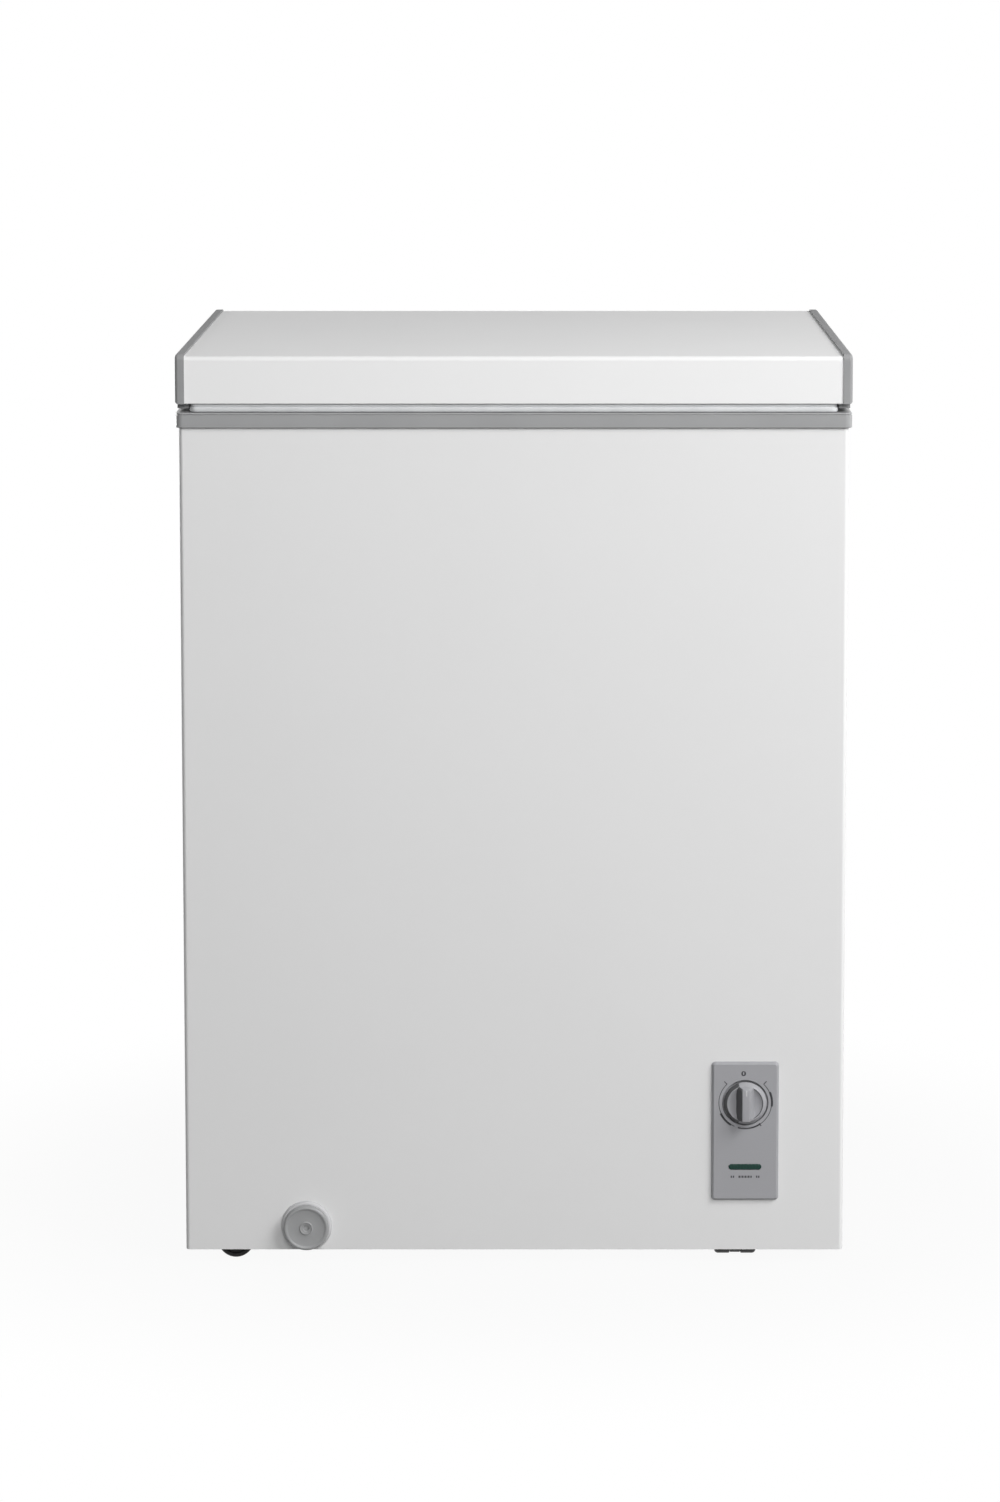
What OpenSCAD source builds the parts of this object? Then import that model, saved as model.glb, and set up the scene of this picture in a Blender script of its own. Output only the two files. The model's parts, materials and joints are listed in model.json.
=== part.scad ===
// Chest freezer: insulated steel cabinet, spring-balanced lid, compressor space, front drain,
// thermostat knob, wire basket and four twin-wheel casters.
// Millimetres, +Z up. The origin is on the floor, under the middle of the whole product,
// and the front faces -Y.

/* [Cabinet] */
// Width of the steel case
case_w = 615; // [600:5:680]
// Depth of the steel case, front face to back panel
case_d = 534; // [510:2:600]
// Height of the steel case, from its lower edge to the collar
case_h = 770; // [720:10:840]
// Height of the case's lower edge above the floor
skirt_z = 17; // [15:0.5:18]
// Thickness of the steel sheet
sheet = 0.8; // [0.6:0.1:1]
// Outside radius of the case's front corners
case_corner_r = 4; // [3:0.5:8]
// Width of the flanges folded in along the back and top edges
case_flange = 12; // [10:1:16]
// Depth of the turned-down edges of the base plate and the tray
base_edge = 10; // [6:1:12]
// Thickness of the insulated walls, from case to tank
wall_t = 55; // [52:1:64]
// Thickness of the foam under the tank
floor_foam = 55; // [45:1:65]
// Distance between the stiffening beads of the back panel
bead_pitch = 60; // [50:5:65]
// Radius of a stiffening bead
bead_r = 4; // [3:0.5:5]

/* [Tank] */
// Thickness of the aluminium tank
liner_t = 0.8; // [0.6:0.1:1.2]
// Radius of the tank's upright corners
well_corner_r = 30; // [20:1:45]
// Thickness of the foam over and beside the compressor space
step_foam = 45; // [38:1:55]

/* [Compressor space] */
// Width of the compressor space
space_w = 200; // [195:1:215]
// Clear height of the compressor space
space_h = 196; // [186:1:220]
// Thickness of the compressor tray
tray_t = 1.5; // [1.2:0.1:2]

/* [Collar and gasket] */
// Height of the collar's outer face
collar_h = 14; // [12:0.5:18]
// How far the collar and the lid stand out past the case
collar_over = 3; // [2:0.5:5]
// Thickness of the collar's walls
collar_t = 2.5; // [2:0.1:3]
// Depth of the collar's lip inside the tank
lip_h = 20; // [16:1:30]
// Gap that the gasket fills between the collar and the lid
gasket_h = 8; // [6:0.5:10]
// Width of the gasket
gasket_w = 14; // [10:0.5:18]
// Distance from the lid's front to the gasket
gasket_front = 6; // [5:0.5:9]
// Distance from the lid's ends to the gasket
gasket_side = 13; // [10:0.5:16]

/* [Lid] */
// Height of the lid's front face
lid_h = 46; // [42:1:60]
// Width of the end caps seen from above
cap_w = 10; // [8:0.5:14]
// How far the end caps stand above the lid panel
cap_rise = 2; // [1:0.5:3]
// How far the end caps stand in front of the lid panel
cap_proud = 1; // [0.5:0.25:1.5]
// Thickness of the end caps' outer plates
cap_plate = 2.5; // [2:0.25:4]
// Radius of the lid panel's long upper edges
panel_edge_r = 4.5; // [3:0.5:6]
// Radius of the end caps' upper front corners
cap_front_r = 6; // [5:0.5:9]
// Radius of the end caps' upper back corners
cap_back_r = 12; // [7:0.5:16]
// Thickness of the lid's inner lining
lid_liner_t = 1.5; // [1.2:0.1:2]
// Depth of the lining's raised panel below the lid
plug_drop = 2.5; // [1.5:0.25:3]
// Distance from the tank's opening to the raised panel
plug_inset = 16; // [12:1:24]

/* [Hinges] */
// Distance from the side of the case to the middle of a hinge
hinge_inset = 130; // [110:5:140]
// Width of a hinge channel
hinge_w = 34; // [30:1:40]
// Length of a hinge channel below the pin
hinge_len = 140; // [130:5:170]
// Thickness of the hinge steel
hinge_sheet = 1.8; // [1.5:0.1:2.2]
// Width of the channel's screw flanges
hinge_foot = 14; // [12:1:18]
// Height of the lid's lower edge above the hinge pin
pivot_drop = 3; // [2:0.5:4]
// Radius of a hinge pin
pin_r = 2.5; // [2:0.25:3]
// Wall of the arm's hub round the pin
hub_wall = 3; // [2.5:0.25:4]
// Rise of the plunger for each radian that the lid opens
cam_rate = 4; // [3:0.25:4.5]
// Widest opening of the lid in degrees
lid_opening = 80; // [70:1:85]
// Height of a plunger's block
plunger_h = 14; // [10:1:18]
// Middle radius of a hinge spring
spring_r = 7; // [6.5:0.25:7.5]
// Radius of the spring wire
spring_wire_r = 1.4; // [1.1:0.1:1.6]
// Number of turns of a spring
spring_turns = 10; // [8:1:12]

/* [Casters] */
// Radius of a wheel
wheel_r = 17; // [16:0.5:17.5]
// Width of one wheel
wheel_w = 14.5; // [12:0.5:15]
// Radius of the wheels' outer edges
wheel_edge_r = 3.5; // [2:0.25:4]
// Thickness of the web between the two wheels
web_w = 9; // [8:0.5:10]
// Height from the floor to the base plate
caster_h = 48; // [47:0.5:52]
// Distance from the swivel axis to the wheel axle
trail = 9; // [6:0.5:10]
// Radius of a wheel axle
axle_r = 3; // [2.5:0.25:3.5]
// Radius of a caster stem
stem_r = 4; // [3.5:0.25:4.5]
// Distance from the left side to the left swivel axes
caster_left = 54.5; // [50:0.5:60]
// Distance from the right side to the right swivel axes
caster_right = 99.5; // [90:0.5:110]
// Distance from the front to the front left swivel axis
caster_front_left = 36.5; // [36:0.5:45]
// Distance from the front to the front right swivel axis
caster_front_right = 45; // [38:0.5:50]
// Distance from the back to the rear swivel axes
caster_rear = 60; // [50:1:70]

/* [Controls] */
// Width of the control bezel
bezel_w = 62.7; // [60:0.1:70]
// Height of the control bezel
bezel_h = 132; // [125:1:150]
// Thickness of the control bezel
bezel_t = 4; // [3:0.25:5]
// Width of the bezel's slanted edge
bezel_bevel = 3; // [2:0.25:3.5]
// Distance from the right side to the middle of the bezel
bezel_inset = 92; // [80:1:100]
// Height of the middle of the bezel above the floor
bezel_z = 127; // [120:1:140]
// Height of the knob above the middle of the bezel
knob_up = 27.6; // [22:0.2:32]
// Radius of the knob's skirt
knob_r = 20; // [17:0.5:22]
// Thickness of the knob's skirt
knob_skirt = 4; // [3:0.25:5]
// Height of the grip bar on the knob's skirt
grip_h = 9.4; // [7:0.2:12]
// Width of the grip bar
grip_w = 13; // [10:0.5:15]
// Radius of the thermostat shaft
shaft_r = 3; // [2.5:0.25:3.5]
// Length of the indicator lens
lens_w = 30.6; // [24:0.2:36]
// Height of the indicator lens
lens_h = 5.4; // [4:0.2:8]
// Distance from the middle of the bezel down to the lens
lens_down = 33.7; // [30:0.1:40]

/* [Drain] */
// Distance from the left side to the drain
drain_inset = 113; // [108:1:130]
// Height of the drain dial's axis above the floor
drain_z = 36; // [35:0.25:36.5]
// Distance from the tank's front wall to the outlet in its floor
drain_back = 45; // [40:1:60]
// Radius of the drain flange
flange_r = 23; // [21:0.5:25]
// Thickness of the drain flange
flange_t = 4; // [3:0.25:5]
// Radius of the drain dial
dial_r = 19.8; // [18:0.2:20]
// Thickness of the drain dial
dial_t = 7; // [6:0.25:9]
// Outside radius of the sliding sleeve
sleeve_r = 9; // [8:0.25:9.5]
// Length of the socket behind the front panel
socket_len = 30; // [28:1:40]
// Wall of the drain's tubes
drain_wall = 2; // [1.5:0.1:2.4]

/* [Basket] */
// Width of the basket
basket_w = 215; // [180:5:230]
// Height of the basket
basket_h = 170; // [140:5:190]
// Radius of the basket's rim wires
rim_wire_r = 2.2; // [2:0.1:2.5]
// Radius of the basket's grid wires
grid_wire_r = 1.4; // [1.2:0.1:1.6]
// Number of grid wires across the basket's width
grid_count_x = 8; // [6:1:10]
// Number of grid wires along the basket's length
grid_count_y = 12; // [8:1:14]
// Distance between the basket and the tank's end wall
basket_end_gap = 8; // [5:1:15]

/* [Refrigeration] */
// Radius of the compressor shell
shell_r = 72; // [66:1:76]
// Height of the compressor shell
shell_h = 140; // [125:1:146]
// Distance from the back of the case to the compressor's axis
shell_back = 132; // [125:1:150]
// Distance between the mounting bolts across the compressor
foot_w = 130; // [120:2:136]
// Distance between the mounting bolts along the compressor
foot_d = 104; // [96:2:112]
// Height of the rubber grommets under the feet
grommet_h = 12; // [10:1:16]
// Radius of the evaporator tube
evap_r = 4; // [3:0.5:4.5]
// Number of evaporator turns
evap_turns = 8; // [6:1:9]
// Radius of the condenser tube
cond_r = 2.4; // [2:0.1:3]
// Number of condenser turns
cond_turns = 6; // [4:1:8]
// Radius of the filter drier
drier_r = 9.5; // [8:0.5:11]
// Length of the filter drier's barrel
drier_h = 70; // [60:2:80]
// Radius of the cord passage in the gland
gland_r = 4; // [3:0.25:5]

/* [Hidden] */
$fn = 64;

// Clearances: seat for parts that rest side by side, run for pins that turn, slack for loose holes
seat = 0.3;
run = 0.06;
slack = 0.4;
past = 1;

// Hinge cam: the plunger's height falls by cam_rate for each radian, so the profile is an
// involute of a circle of radius cam_rate, and a flat plunger follows the lid at a constant rate.
hub_r = pin_r + hub_wall;
cam_lift = cam_rate * lid_opening * PI / 180;
cam_low = hub_r + cam_lift + seat;
cam_lead = 4;
cam_high = cam_low + cam_rate * cam_lead * PI / 180;
cam_reach = norm([cam_rate, cam_high]);
plunger_gap = 0.15;

// Places in Y and Z
knob_gap = 0.6;
front_reach = max(bezel_t + knob_gap + knob_skirt + grip_h, flange_t + seat + dial_t);
pivot_back = collar_over + cam_reach + 0.5;
hinge_depth = pivot_back + hub_r + 0.7 + hinge_sheet;
case_x = case_w / 2;
front_y = (front_reach - case_d - hinge_depth) / 2;
back_y = front_y + case_d;
mid_y = (front_y + back_y) / 2;
base_z = caster_h;
rim_z = skirt_z + case_h;
collar_z = rim_z + collar_h;
lid_z = collar_z + gasket_h;
lid_top = lid_z + lid_h;
lid_x = case_x + collar_over;
lid_front = front_y - collar_over;
lid_back = back_y + collar_over;
panel_front = lid_front + cap_proud;
panel_back = lid_back - cap_proud;
panel_top = lid_top - cap_rise;
panel_x = lid_x - cap_plate - seat;
plate_z = collar_z - collar_t;

// Tank and compressor space
well_w = case_w - 2 * wall_t;
well_d = case_d - 2 * wall_t;
well_floor = base_z + sheet + floor_foam + liner_t;
lip_t = 2;
space_x = case_x - space_w;
space_floor = base_z + tray_t;
space_top = space_floor + space_h;
step_x = space_x - step_foam;
step_z = space_top + sheet + step_foam;
inner_x = case_x - sheet;
inner_front = front_y + sheet;
inner_back = back_y - 2 * sheet;

// Controls and drain
neck_r = shaft_r + 2;
knob_top = front_y - bezel_t - knob_gap - knob_skirt - grip_h;
bezel_x = case_x - bezel_inset;
knob_z = bezel_z + knob_up;
lens_z = bezel_z - lens_down;
window_lap = 4;
drain_x = drain_inset - case_x;
drain_y = front_y + wall_t + drain_back;
socket_r = sleeve_r + drain_wall;
hem_h = 6;
pipe_r = 9.8;
pipe_bore_r = 8;
run_pipe_r = 9.5;
run_bore_r = 7;
plug_r = pipe_bore_r - 2;
dial_back = front_y - flange_t - seat;
dial_front = dial_back - dial_t;
sleeve_front = dial_back - dial_t * 0.6;
sleeve_back = front_y + socket_len - 6.5;
port_y = (dial_back + sleeve_front) / 2;

// Hinges
pivot_z = lid_z - pivot_drop;
pivot_y = back_y + pivot_back;
hinge_x = case_x - hinge_inset;
cheek_r = hinge_depth - pivot_back;
plunger_front = collar_over + 0.6 - pivot_back;
plunger_back = cheek_r - hinge_sheet - slack;
plunger_top = -cam_low - plunger_gap;
plunger_bottom = plunger_top - plunger_h;
spring_y = (plunger_front + plunger_back) / 2;
spring_low = -hinge_len + hinge_sheet;
spring_pin_r = spring_r - spring_wire_r - slack;
spring_pin_h = 9;
foot_top = rim_z - pivot_z - 12;
screw_r = 2;
screw_head_r = 4;
screw_head_h = 2;
anchor_t = 2;
hinge_screw_x = hinge_w / 2 + hinge_foot / 2;
hinge_screw_z = [foot_top - 12, -hinge_len + 12];
arm_front = panel_back - pivot_y;
arm_x = hinge_w / 2 - hinge_sheet - 0.7;
arm_top = pivot_drop + lid_h - 8;
arm_low = pivot_drop + 1;
arm_screw_z = [arm_low + 9, arm_top - 8];

// Rooms for the coils, and the rear panel's beads
coil_gap = 1;
coil_bend = 24;
evap_room = 2 * (evap_r + seat) + coil_gap;
cond_room = 2 * (cond_r + seat);
evap_low = step_z + 20;
evap_high = rim_z - 40;
cond_low = space_top + 40;
cond_high = pivot_z - hinge_len - 10;
bead_low = space_top + 50;
bead_high = rim_z - 60;

// Casters: swivel axes and the way each one stands
caster_at = [
    [caster_left - case_x, front_y + caster_front_left],
    [case_x - caster_right, front_y + caster_front_right],
    [caster_left - case_x, back_y - caster_rear],
    [case_x - caster_right, back_y - caster_rear],
];
caster_turn = [0, 90, 180, 270];
wheel_in = web_w / 2 + 0.5;
wheel_out = wheel_in + wheel_w;
fender_r = wheel_r + 0.6;
fender_t = 1.8;
stem_low = wheel_r + fender_r + 1;
nut_r = 7;
nut_h = 5;

// Basket
mouth_w = well_w - 2 * lip_t;
mouth_d = well_d - 2 * lip_t;
basket_x = mouth_w / 2 - basket_end_gap - basket_w / 2;
basket_d = mouth_d - 24;
basket_top = collar_z - 12;
basket_low = basket_top - basket_h;
hook_z = collar_z + seat + grid_wire_r;

// Compressor
shell_x = case_x - space_w / 2;
shell_y = back_y - shell_back;
leg_t = 3;
grommet_neck_r = 6.8;
leg_z = space_floor + grommet_h;
shell_z = leg_z + 1;
bolt_r = 4;
tube_y = back_y - 36;
drier_x = space_x + 24;
drier_low = space_floor + 62;
drier_top = drier_low + drier_h;
drier_neck = 12;
suction_x = shell_x - 26;
discharge_x = shell_x + 26;
port_z = shell_z + shell_h * 0.62;
suction_r = 3.6;
discharge_r = 2.8;
capillary_r = 1.2;
tube_rise = 6;
capillary_x = drier_x + 26;

// ---------- helpers ----------

module rounded_rect(w, d, r) {
    square([w - 2 * r, d], center = true);
    square([w, d - 2 * r], center = true);
    for (x = [-1, 1], y = [-1, 1])
        translate([x * (w / 2 - r), y * (d / 2 - r)])
            circle(r);
}

module ring_2d(w, d, r, t) {
    difference() {
        rounded_rect(w, d, r);
        rounded_rect(w - 2 * t, d - 2 * t, max(r - t, 0.5));
    }
}

// Extrudes a plan outline between two heights, centred on the cabinet
module layer(z0, z1) {
    translate([0, mid_y, z0])
        linear_extrude(z1 - z0)
            children();
}

module box(x0, x1, y0, y1, z0, z1) {
    translate([x0, y0, z0])
        cube([x1 - x0, y1 - y0, z1 - z0]);
}

module rod_x(r, x0, x1) {
    translate([x0, 0, 0])
        rotate([0, 90, 0])
            cylinder(r = r, h = x1 - x0);
}

module rod_y(r, y0, y1) {
    translate([0, y0, 0])
        rotate([-90, 0, 0])
            cylinder(r = r, h = y1 - y0);
}

module rod_z(r, z0, z1) {
    translate([0, 0, z0])
        cylinder(r = r, h = z1 - z0);
}

// Extrudes a Y-Z outline along X
module along_x(x0, x1) {
    translate([x0, 0, 0])
        rotate([90, 0, 90])
            linear_extrude(x1 - x0)
                children();
}

// Extrudes an X-Z outline along Y
module along_y(y0, y1) {
    translate([0, y1, 0])
        rotate([90, 0, 0])
            linear_extrude(y1 - y0)
                children();
}

module slot_2d(w, h) {
    square([w - h, h], center = true);
    for (x = [-1, 1])
        translate([x * (w - h) / 2, 0])
            circle(h / 2);
}

function unit(v) = v / norm(v);

// Direction along a path at point i
function heading(path, i) =
    unit(path[min(i + 1, len(path) - 1)] - path[max(i - 1, 0)]);

// One ring of points round a path; across is a direction that the path never takes
function ring_at(path, i, r, sides, across) =
    let (t = heading(path, i), u = unit(cross(t, across)), v = cross(t, u))
    [for (k = [0:sides - 1]) path[i] + r * (cos(360 * k / sides) * u + sin(360 * k / sides) * v)];

// A round wire or tube along a path of points
module sweep(path, r, sides, across) {
    count = len(path);
    points = [for (i = [0:count - 1]) each ring_at(path, i, r, sides, across)];
    walls = [for (i = [0:count - 2], k = [0:sides - 1])
        let (a = i * sides, b = a + sides, n = (k + 1) % sides)
        [a + k, b + k, b + n, a + n]];
    first = [[for (k = [0:sides - 1]) k]];
    last = [[for (k = [sides - 1:-1:0]) (count - 1) * sides + k]];
    polyhedron(points = points, faces = concat(first, walls, last), convexity = 10);
}

// Replaces each corner of a path by a smooth bend that starts reach before it
function bend(path, reach, steps) = [
    path[0],
    for (i = [1:len(path) - 2])
        let (a = path[i] + reach * unit(path[i - 1] - path[i]),
             b = path[i] + reach * unit(path[i + 1] - path[i]))
        for (s = [0:steps])
            let (t = s / steps)
            (1 - t) * (1 - t) * a + 2 * t * (1 - t) * path[i] + t * t * b,
    path[len(path) - 1],
];

// A rising coil round a rounded rectangle centred on the cabinet
function coil(w, d, r, z0, z1, turns, steps) = [
    for (n = [0:turns * 4 - 1], s = [0:steps])
        let (corner = n % 4,
             a = 90 * (corner + s / steps),
             part = (n + s / steps / 4) / (turns * 4),
             cx = (corner == 0 || corner == 3) ? w / 2 - r : r - w / 2,
             cy = (corner < 2) ? d / 2 - r : r - d / 2)
        [cx + r * cos(a), mid_y + cy + r * sin(a), z0 + (z1 - z0) * part]
];

// A self-tapping screw: the head's underside at the origin, the shank along -Y
module screw_y(len) {
    rod_y(screw_head_r, 0, screw_head_h);
    rod_y(screw_r, -len, past / 2);
}

// ---------- cabinet ----------

// Plan of the case, with round front corners; the back panel closes it
module case_plan(inset) {
    r = case_corner_r - inset;
    x = case_x - inset;
    y0 = front_y + inset;
    y1 = back_y - sheet - inset;
    translate([-x, y0 + r])
        square([2 * x, y1 - y0 - r]);
    translate([r - x, y0])
        square([2 * (x - r), 2 * r]);
    for (s = [-1, 1])
        translate([s * (x - r), y0 + r])
            circle(r);
}

module window_cut(gap) {
    translate([bezel_x, 0, bezel_z])
        along_y(front_y - past, front_y + case_corner_r)
            rounded_rect(bezel_w - 2 * window_lap + gap, bezel_h - 2 * window_lap + gap, 2);
}

module outer_case() {
    color("white")
        difference() {
            union() {
                translate([0, 0, skirt_z])
                    linear_extrude(case_h)
                        difference() {
                            case_plan(0);
                            case_plan(sheet);
                            translate([case_flange - case_x, inner_back - past])
                                square([2 * (case_x - case_flange), 3 * past]);
                        }
                // Flange folded in under the collar
                translate([0, 0, rim_z - sheet])
                    linear_extrude(sheet)
                        difference() {
                            case_plan(0);
                            translate([case_flange - case_x, front_y + case_flange])
                                square([case_w - 2 * case_flange, case_d]);
                        }
                // Hem along the lower edge
                translate([0, 0, skirt_z])
                    linear_extrude(hem_h)
                        difference() {
                            case_plan(sheet / 2);
                            case_plan(2 * sheet);
                            translate([-case_x, inner_back - sheet])
                                square([case_w, 3 * past]);
                        }
            }
            window_cut(2 * seat);
            translate([drain_x, 0, drain_z])
                rod_y(socket_r + seat, front_y - past, front_y + 3 * sheet);
            panel_screw_holes();
        }
}

// The back panel is cut out round the compressor space, where the rear cover goes
module back_panel() {
    color("gainsboro")
        difference() {
            union() {
                difference() {
                    along_y(back_y - sheet, back_y)
                        translate([1 - case_x, skirt_z + 1])
                            square([case_w - 2, case_h - 2]);
                    box(space_x + 8, case_x - case_flange - 4, back_y - past, back_y + past,
                        0, space_top - 8);
                }
                for (i = [-2:2])
                    translate([i * bead_pitch, back_y - sheet, 0])
                        rod_z(bead_r, bead_low, bead_high);
            }
            for (i = [-2:2])
                translate([i * bead_pitch, back_y - sheet, 0])
                    rod_z(bead_r - sheet, bead_low + sheet, bead_high - sheet);
            box(-case_x, case_x, back_y - sheet - 2 * bead_r, back_y - sheet, 0, rim_z);
            panel_screw_holes();
            hinge_screw_holes(seat / 2);
        }
}

// Keeps what is inside the case and its round corners
module inside_case() {
    intersection() {
        linear_extrude(rim_z)
            case_plan(sheet);
        union()
            children();
    }
}

// A pressed plate with turned-down edges; x0 to x1, thickness t
module floor_plate(x0, x1, t) {
    inside_case() {
        box(x0, x1, inner_front, inner_back, base_z, base_z + t);
        box(x0, x1, inner_front, inner_front + t, base_z - base_edge, base_z + t);
        box(x0, x1, inner_back - t, inner_back, base_z - base_edge, base_z + t);
    }
}

module stem_boss(i, t) {
    translate([caster_at[i].x, caster_at[i].y, base_z])
        cylinder(r = nut_r, h = t + nut_h);
}

module stem_hole(i) {
    translate([caster_at[i].x, caster_at[i].y, base_z - past])
        cylinder(r = stem_r + seat / 2, h = nut_h + 4 * past);
}

module base_plate() {
    color("silver")
        difference() {
            union() {
                floor_plate(-inner_x, space_x, sheet);
                inside_case()
                    box(-inner_x, sheet - inner_x, inner_front, inner_back, base_z - base_edge, base_z);
                for (i = [0, 2])
                    stem_boss(i, sheet);
            }
            for (i = [0, 2])
                stem_hole(i);
            translate([drain_x, drain_y, 0])
                rod_z(pipe_r + seat, base_z - past, base_z + 2 * past);
            box(drain_x - socket_r - 1, drain_x + socket_r + 1, inner_front - past,
                inner_front + past, 0, base_z);
        }
}

module compressor_tray() {
    color("darkgray")
        difference() {
            union() {
                floor_plate(space_x + seat, inner_x, tray_t);
                for (i = [1, 3])
                    stem_boss(i, tray_t);
            }
            for (i = [1, 3])
                stem_hole(i);
            for_feet()
                rod_z(bolt_r + seat, base_z - past, space_floor + past);
        }
}

// The sheet that parts the foam from the compressor space
module step_panel() {
    color("silver")
        difference() {
            inside_case() {
                box(space_x, space_x + sheet, inner_front, inner_back, space_floor, space_top);
                box(space_x, inner_x, inner_front, inner_back, space_top, space_top + sheet);
                box(space_x, space_x + 14, inner_front, inner_back, space_floor,
                    space_floor + sheet);
            }
            tube_holes(seat);
        }
}

// The tank's hollow, with the step over the compressor space; grow makes it larger all round
module well_volume(grow) {
    difference() {
        layer(well_floor - grow, collar_z + 2 * past)
            rounded_rect(well_w + 2 * grow, well_d + 2 * grow, well_corner_r + grow);
        box(step_x + grow, case_x, front_y, back_y, 0, step_z - grow);
    }
}

module liner() {
    color("whitesmoke")
        difference() {
            well_volume(liner_t);
            well_volume(0);
            box(-case_x, case_x, front_y, back_y, plate_z, collar_z + 3 * past);
            translate([drain_x, drain_y, 0])
                rod_z(pipe_bore_r, well_floor - 2 * past, well_floor + past);
        }
}

module channel(w, d, r, depth, z0, z1) {
    layer(z0, z1)
        difference() {
            rounded_rect(w, d, r);
            rounded_rect(w - 2 * depth, d - 2 * depth, max(r - depth, 0.5));
        }
}

module cabinet_foam() {
    color("khaki")
        difference() {
            union() {
                translate([0, 0, base_z + sheet])
                    linear_extrude(rim_z - base_z - 2 * sheet)
                        case_plan(sheet);
                // The foam rises into the collar
                layer(rim_z - past, plate_z)
                    rounded_rect(case_w - 2 * case_flange - 2 * seat,
                                 case_d - 2 * case_flange - 4 * sheet, 4);
            }
            well_volume(liner_t);
            box(space_x, case_x, front_y, back_y, 0, space_top + sheet);
            // Room for the evaporator coil against the tank
            channel(well_w + 2 * (liner_t + evap_room), well_d + 2 * (liner_t + evap_room),
                    well_corner_r + liner_t + evap_room, evap_room + past, evap_low, evap_high);
            // Room for the condenser coil against the case
            difference() {
                box(-case_x, case_x, front_y, back_y, cond_low, cond_high);
                layer(cond_low - past, cond_high + past)
                    rounded_rect(2 * (inner_x - cond_room), case_d - 4 * sheet - 2 * cond_room,
                                 coil_bend);
            }
            translate([drain_x, drain_y, 0])
                rod_z(pipe_r + seat, 0, well_floor);
            for (i = [0, 2])
                translate([caster_at[i].x, caster_at[i].y, 0])
                    rod_z(nut_r + seat, 0, base_z + sheet + nut_h + 3);
            for (s = [-1, 1])
                box(s * hinge_x - hinge_w / 2 - hinge_foot - 1, s * hinge_x + hinge_w / 2 + hinge_foot + 1,
                    back_y - sheet - anchor_t - 2 * seat, back_y,
                    pivot_z - hinge_len - 1, pivot_z + foot_top + 1);
            hinge_screw_holes(seat);
            panel_screw_tips();
            tube_holes(2);
        }
}

module collar() {
    w = case_w + 2 * collar_over;
    d = case_d + 2 * collar_over;
    r = case_corner_r + collar_over;
    color("darkgray")
        difference() {
            union() {
                layer(rim_z, collar_z)
                    ring_2d(w, d, r, collar_t);
                layer(rim_z, rim_z + collar_t / 2)
                    ring_2d(w, d, r, collar_over + case_flange);
                layer(plate_z, collar_z)
                    difference() {
                        rounded_rect(w, d, r);
                        rounded_rect(mouth_w, mouth_d, well_corner_r - lip_t);
                    }
                layer(collar_z - lip_h, collar_z)
                    difference() {
                        rounded_rect(well_w - seat, well_d - seat, well_corner_r - seat / 2);
                        rounded_rect(mouth_w, mouth_d, well_corner_r - lip_t);
                    }
            }
            // Shadow line under the upper edge
            layer(collar_z - 2.4, collar_z - 1.4)
                difference() {
                    rounded_rect(w + 2, d + 2, r + 1);
                    rounded_rect(w - 1.6, d - 1.6, r - 0.8);
                }
        }
}

// ---------- refrigeration ----------

module evaporator_tube() {
    out = liner_t + evap_r + coil_gap;
    color("peru")
        sweep(coil(well_w + 2 * out, well_d + 2 * out, well_corner_r + out,
                   evap_low + 2 * evap_r, evap_high - 2 * evap_r, evap_turns, 4),
              evap_r, 8, [0, 0, 1]);
}

module condenser_tube() {
    in = cond_r + seat;
    color("peru")
        sweep(coil(2 * (inner_x - in), case_d - 4 * sheet - 2 * in, coil_bend,
                   cond_low + 3 * cond_r, cond_high - 3 * cond_r, cond_turns, 3),
              cond_r, 6, [0, 0, 1]);
}

module for_feet() {
    for (x = [-1, 1], y = [-1, 1])
        translate([shell_x + x * foot_w / 2, shell_y + y * foot_d / 2, 0])
            children();
}

// Half outline of the domed shell: a bowl and a cap with blunt round ends
function dome(r, h, blunt, step) = [for (a = [0:step:90]) [r * pow(cos(a), blunt), h * pow(sin(a), blunt)]];

module compressor() {
    cap = dome(shell_r, shell_h * 0.55, 0.62, 9);
    bowl = dome(shell_r, shell_h * 0.45, 0.5, 9);
    color("dimgray")
        difference() {
            union() {
                translate([shell_x, shell_y, shell_z + shell_h * 0.45]) {
                    rotate_extrude()
                        polygon(concat([[0, 0]], cap));
                    rotate_extrude()
                        polygon(concat([[0, 0]], [for (p = bowl) [p.x, -p.y]]));
                    // Welded seam
                    rod_z(shell_r + 2, -3, 3);
                }
                for (y = [-1, 1])
                    translate([shell_x, shell_y + y * foot_d / 2, leg_z])
                        linear_extrude(leg_t)
                            rounded_rect(foot_w + 28, 30, 12);
                box(shell_x - 22, shell_x + 22, shell_y - foot_d / 2, shell_y + foot_d / 2,
                    leg_z, leg_z + leg_t);
                for (x = [suction_x, discharge_x])
                    translate([x, 0, port_z])
                        rod_y(suction_r + 1.4, shell_y, shell_y + shell_r + 4);
                // Charging stub
                translate([shell_x + shell_r * 0.5, 0, port_z - 26])
                    rod_y(3, shell_y, shell_y + shell_r + 16);
            }
            for_feet()
                rod_z(grommet_neck_r + seat / 2, leg_z - past, leg_z + leg_t + past);
        }
}

module compressor_grommets() {
    color("black")
        for_feet()
            difference() {
                union() {
                    rod_z(11, space_floor, leg_z - 3);
                    rod_z(9, leg_z - 3.5, leg_z);
                    rod_z(grommet_neck_r, leg_z - past, leg_z + leg_t + past);
                    rod_z(9, leg_z + leg_t, leg_z + leg_t + 4);
                }
                rod_z(bolt_r + seat / 2, 0, space_top);
            }
}

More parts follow.
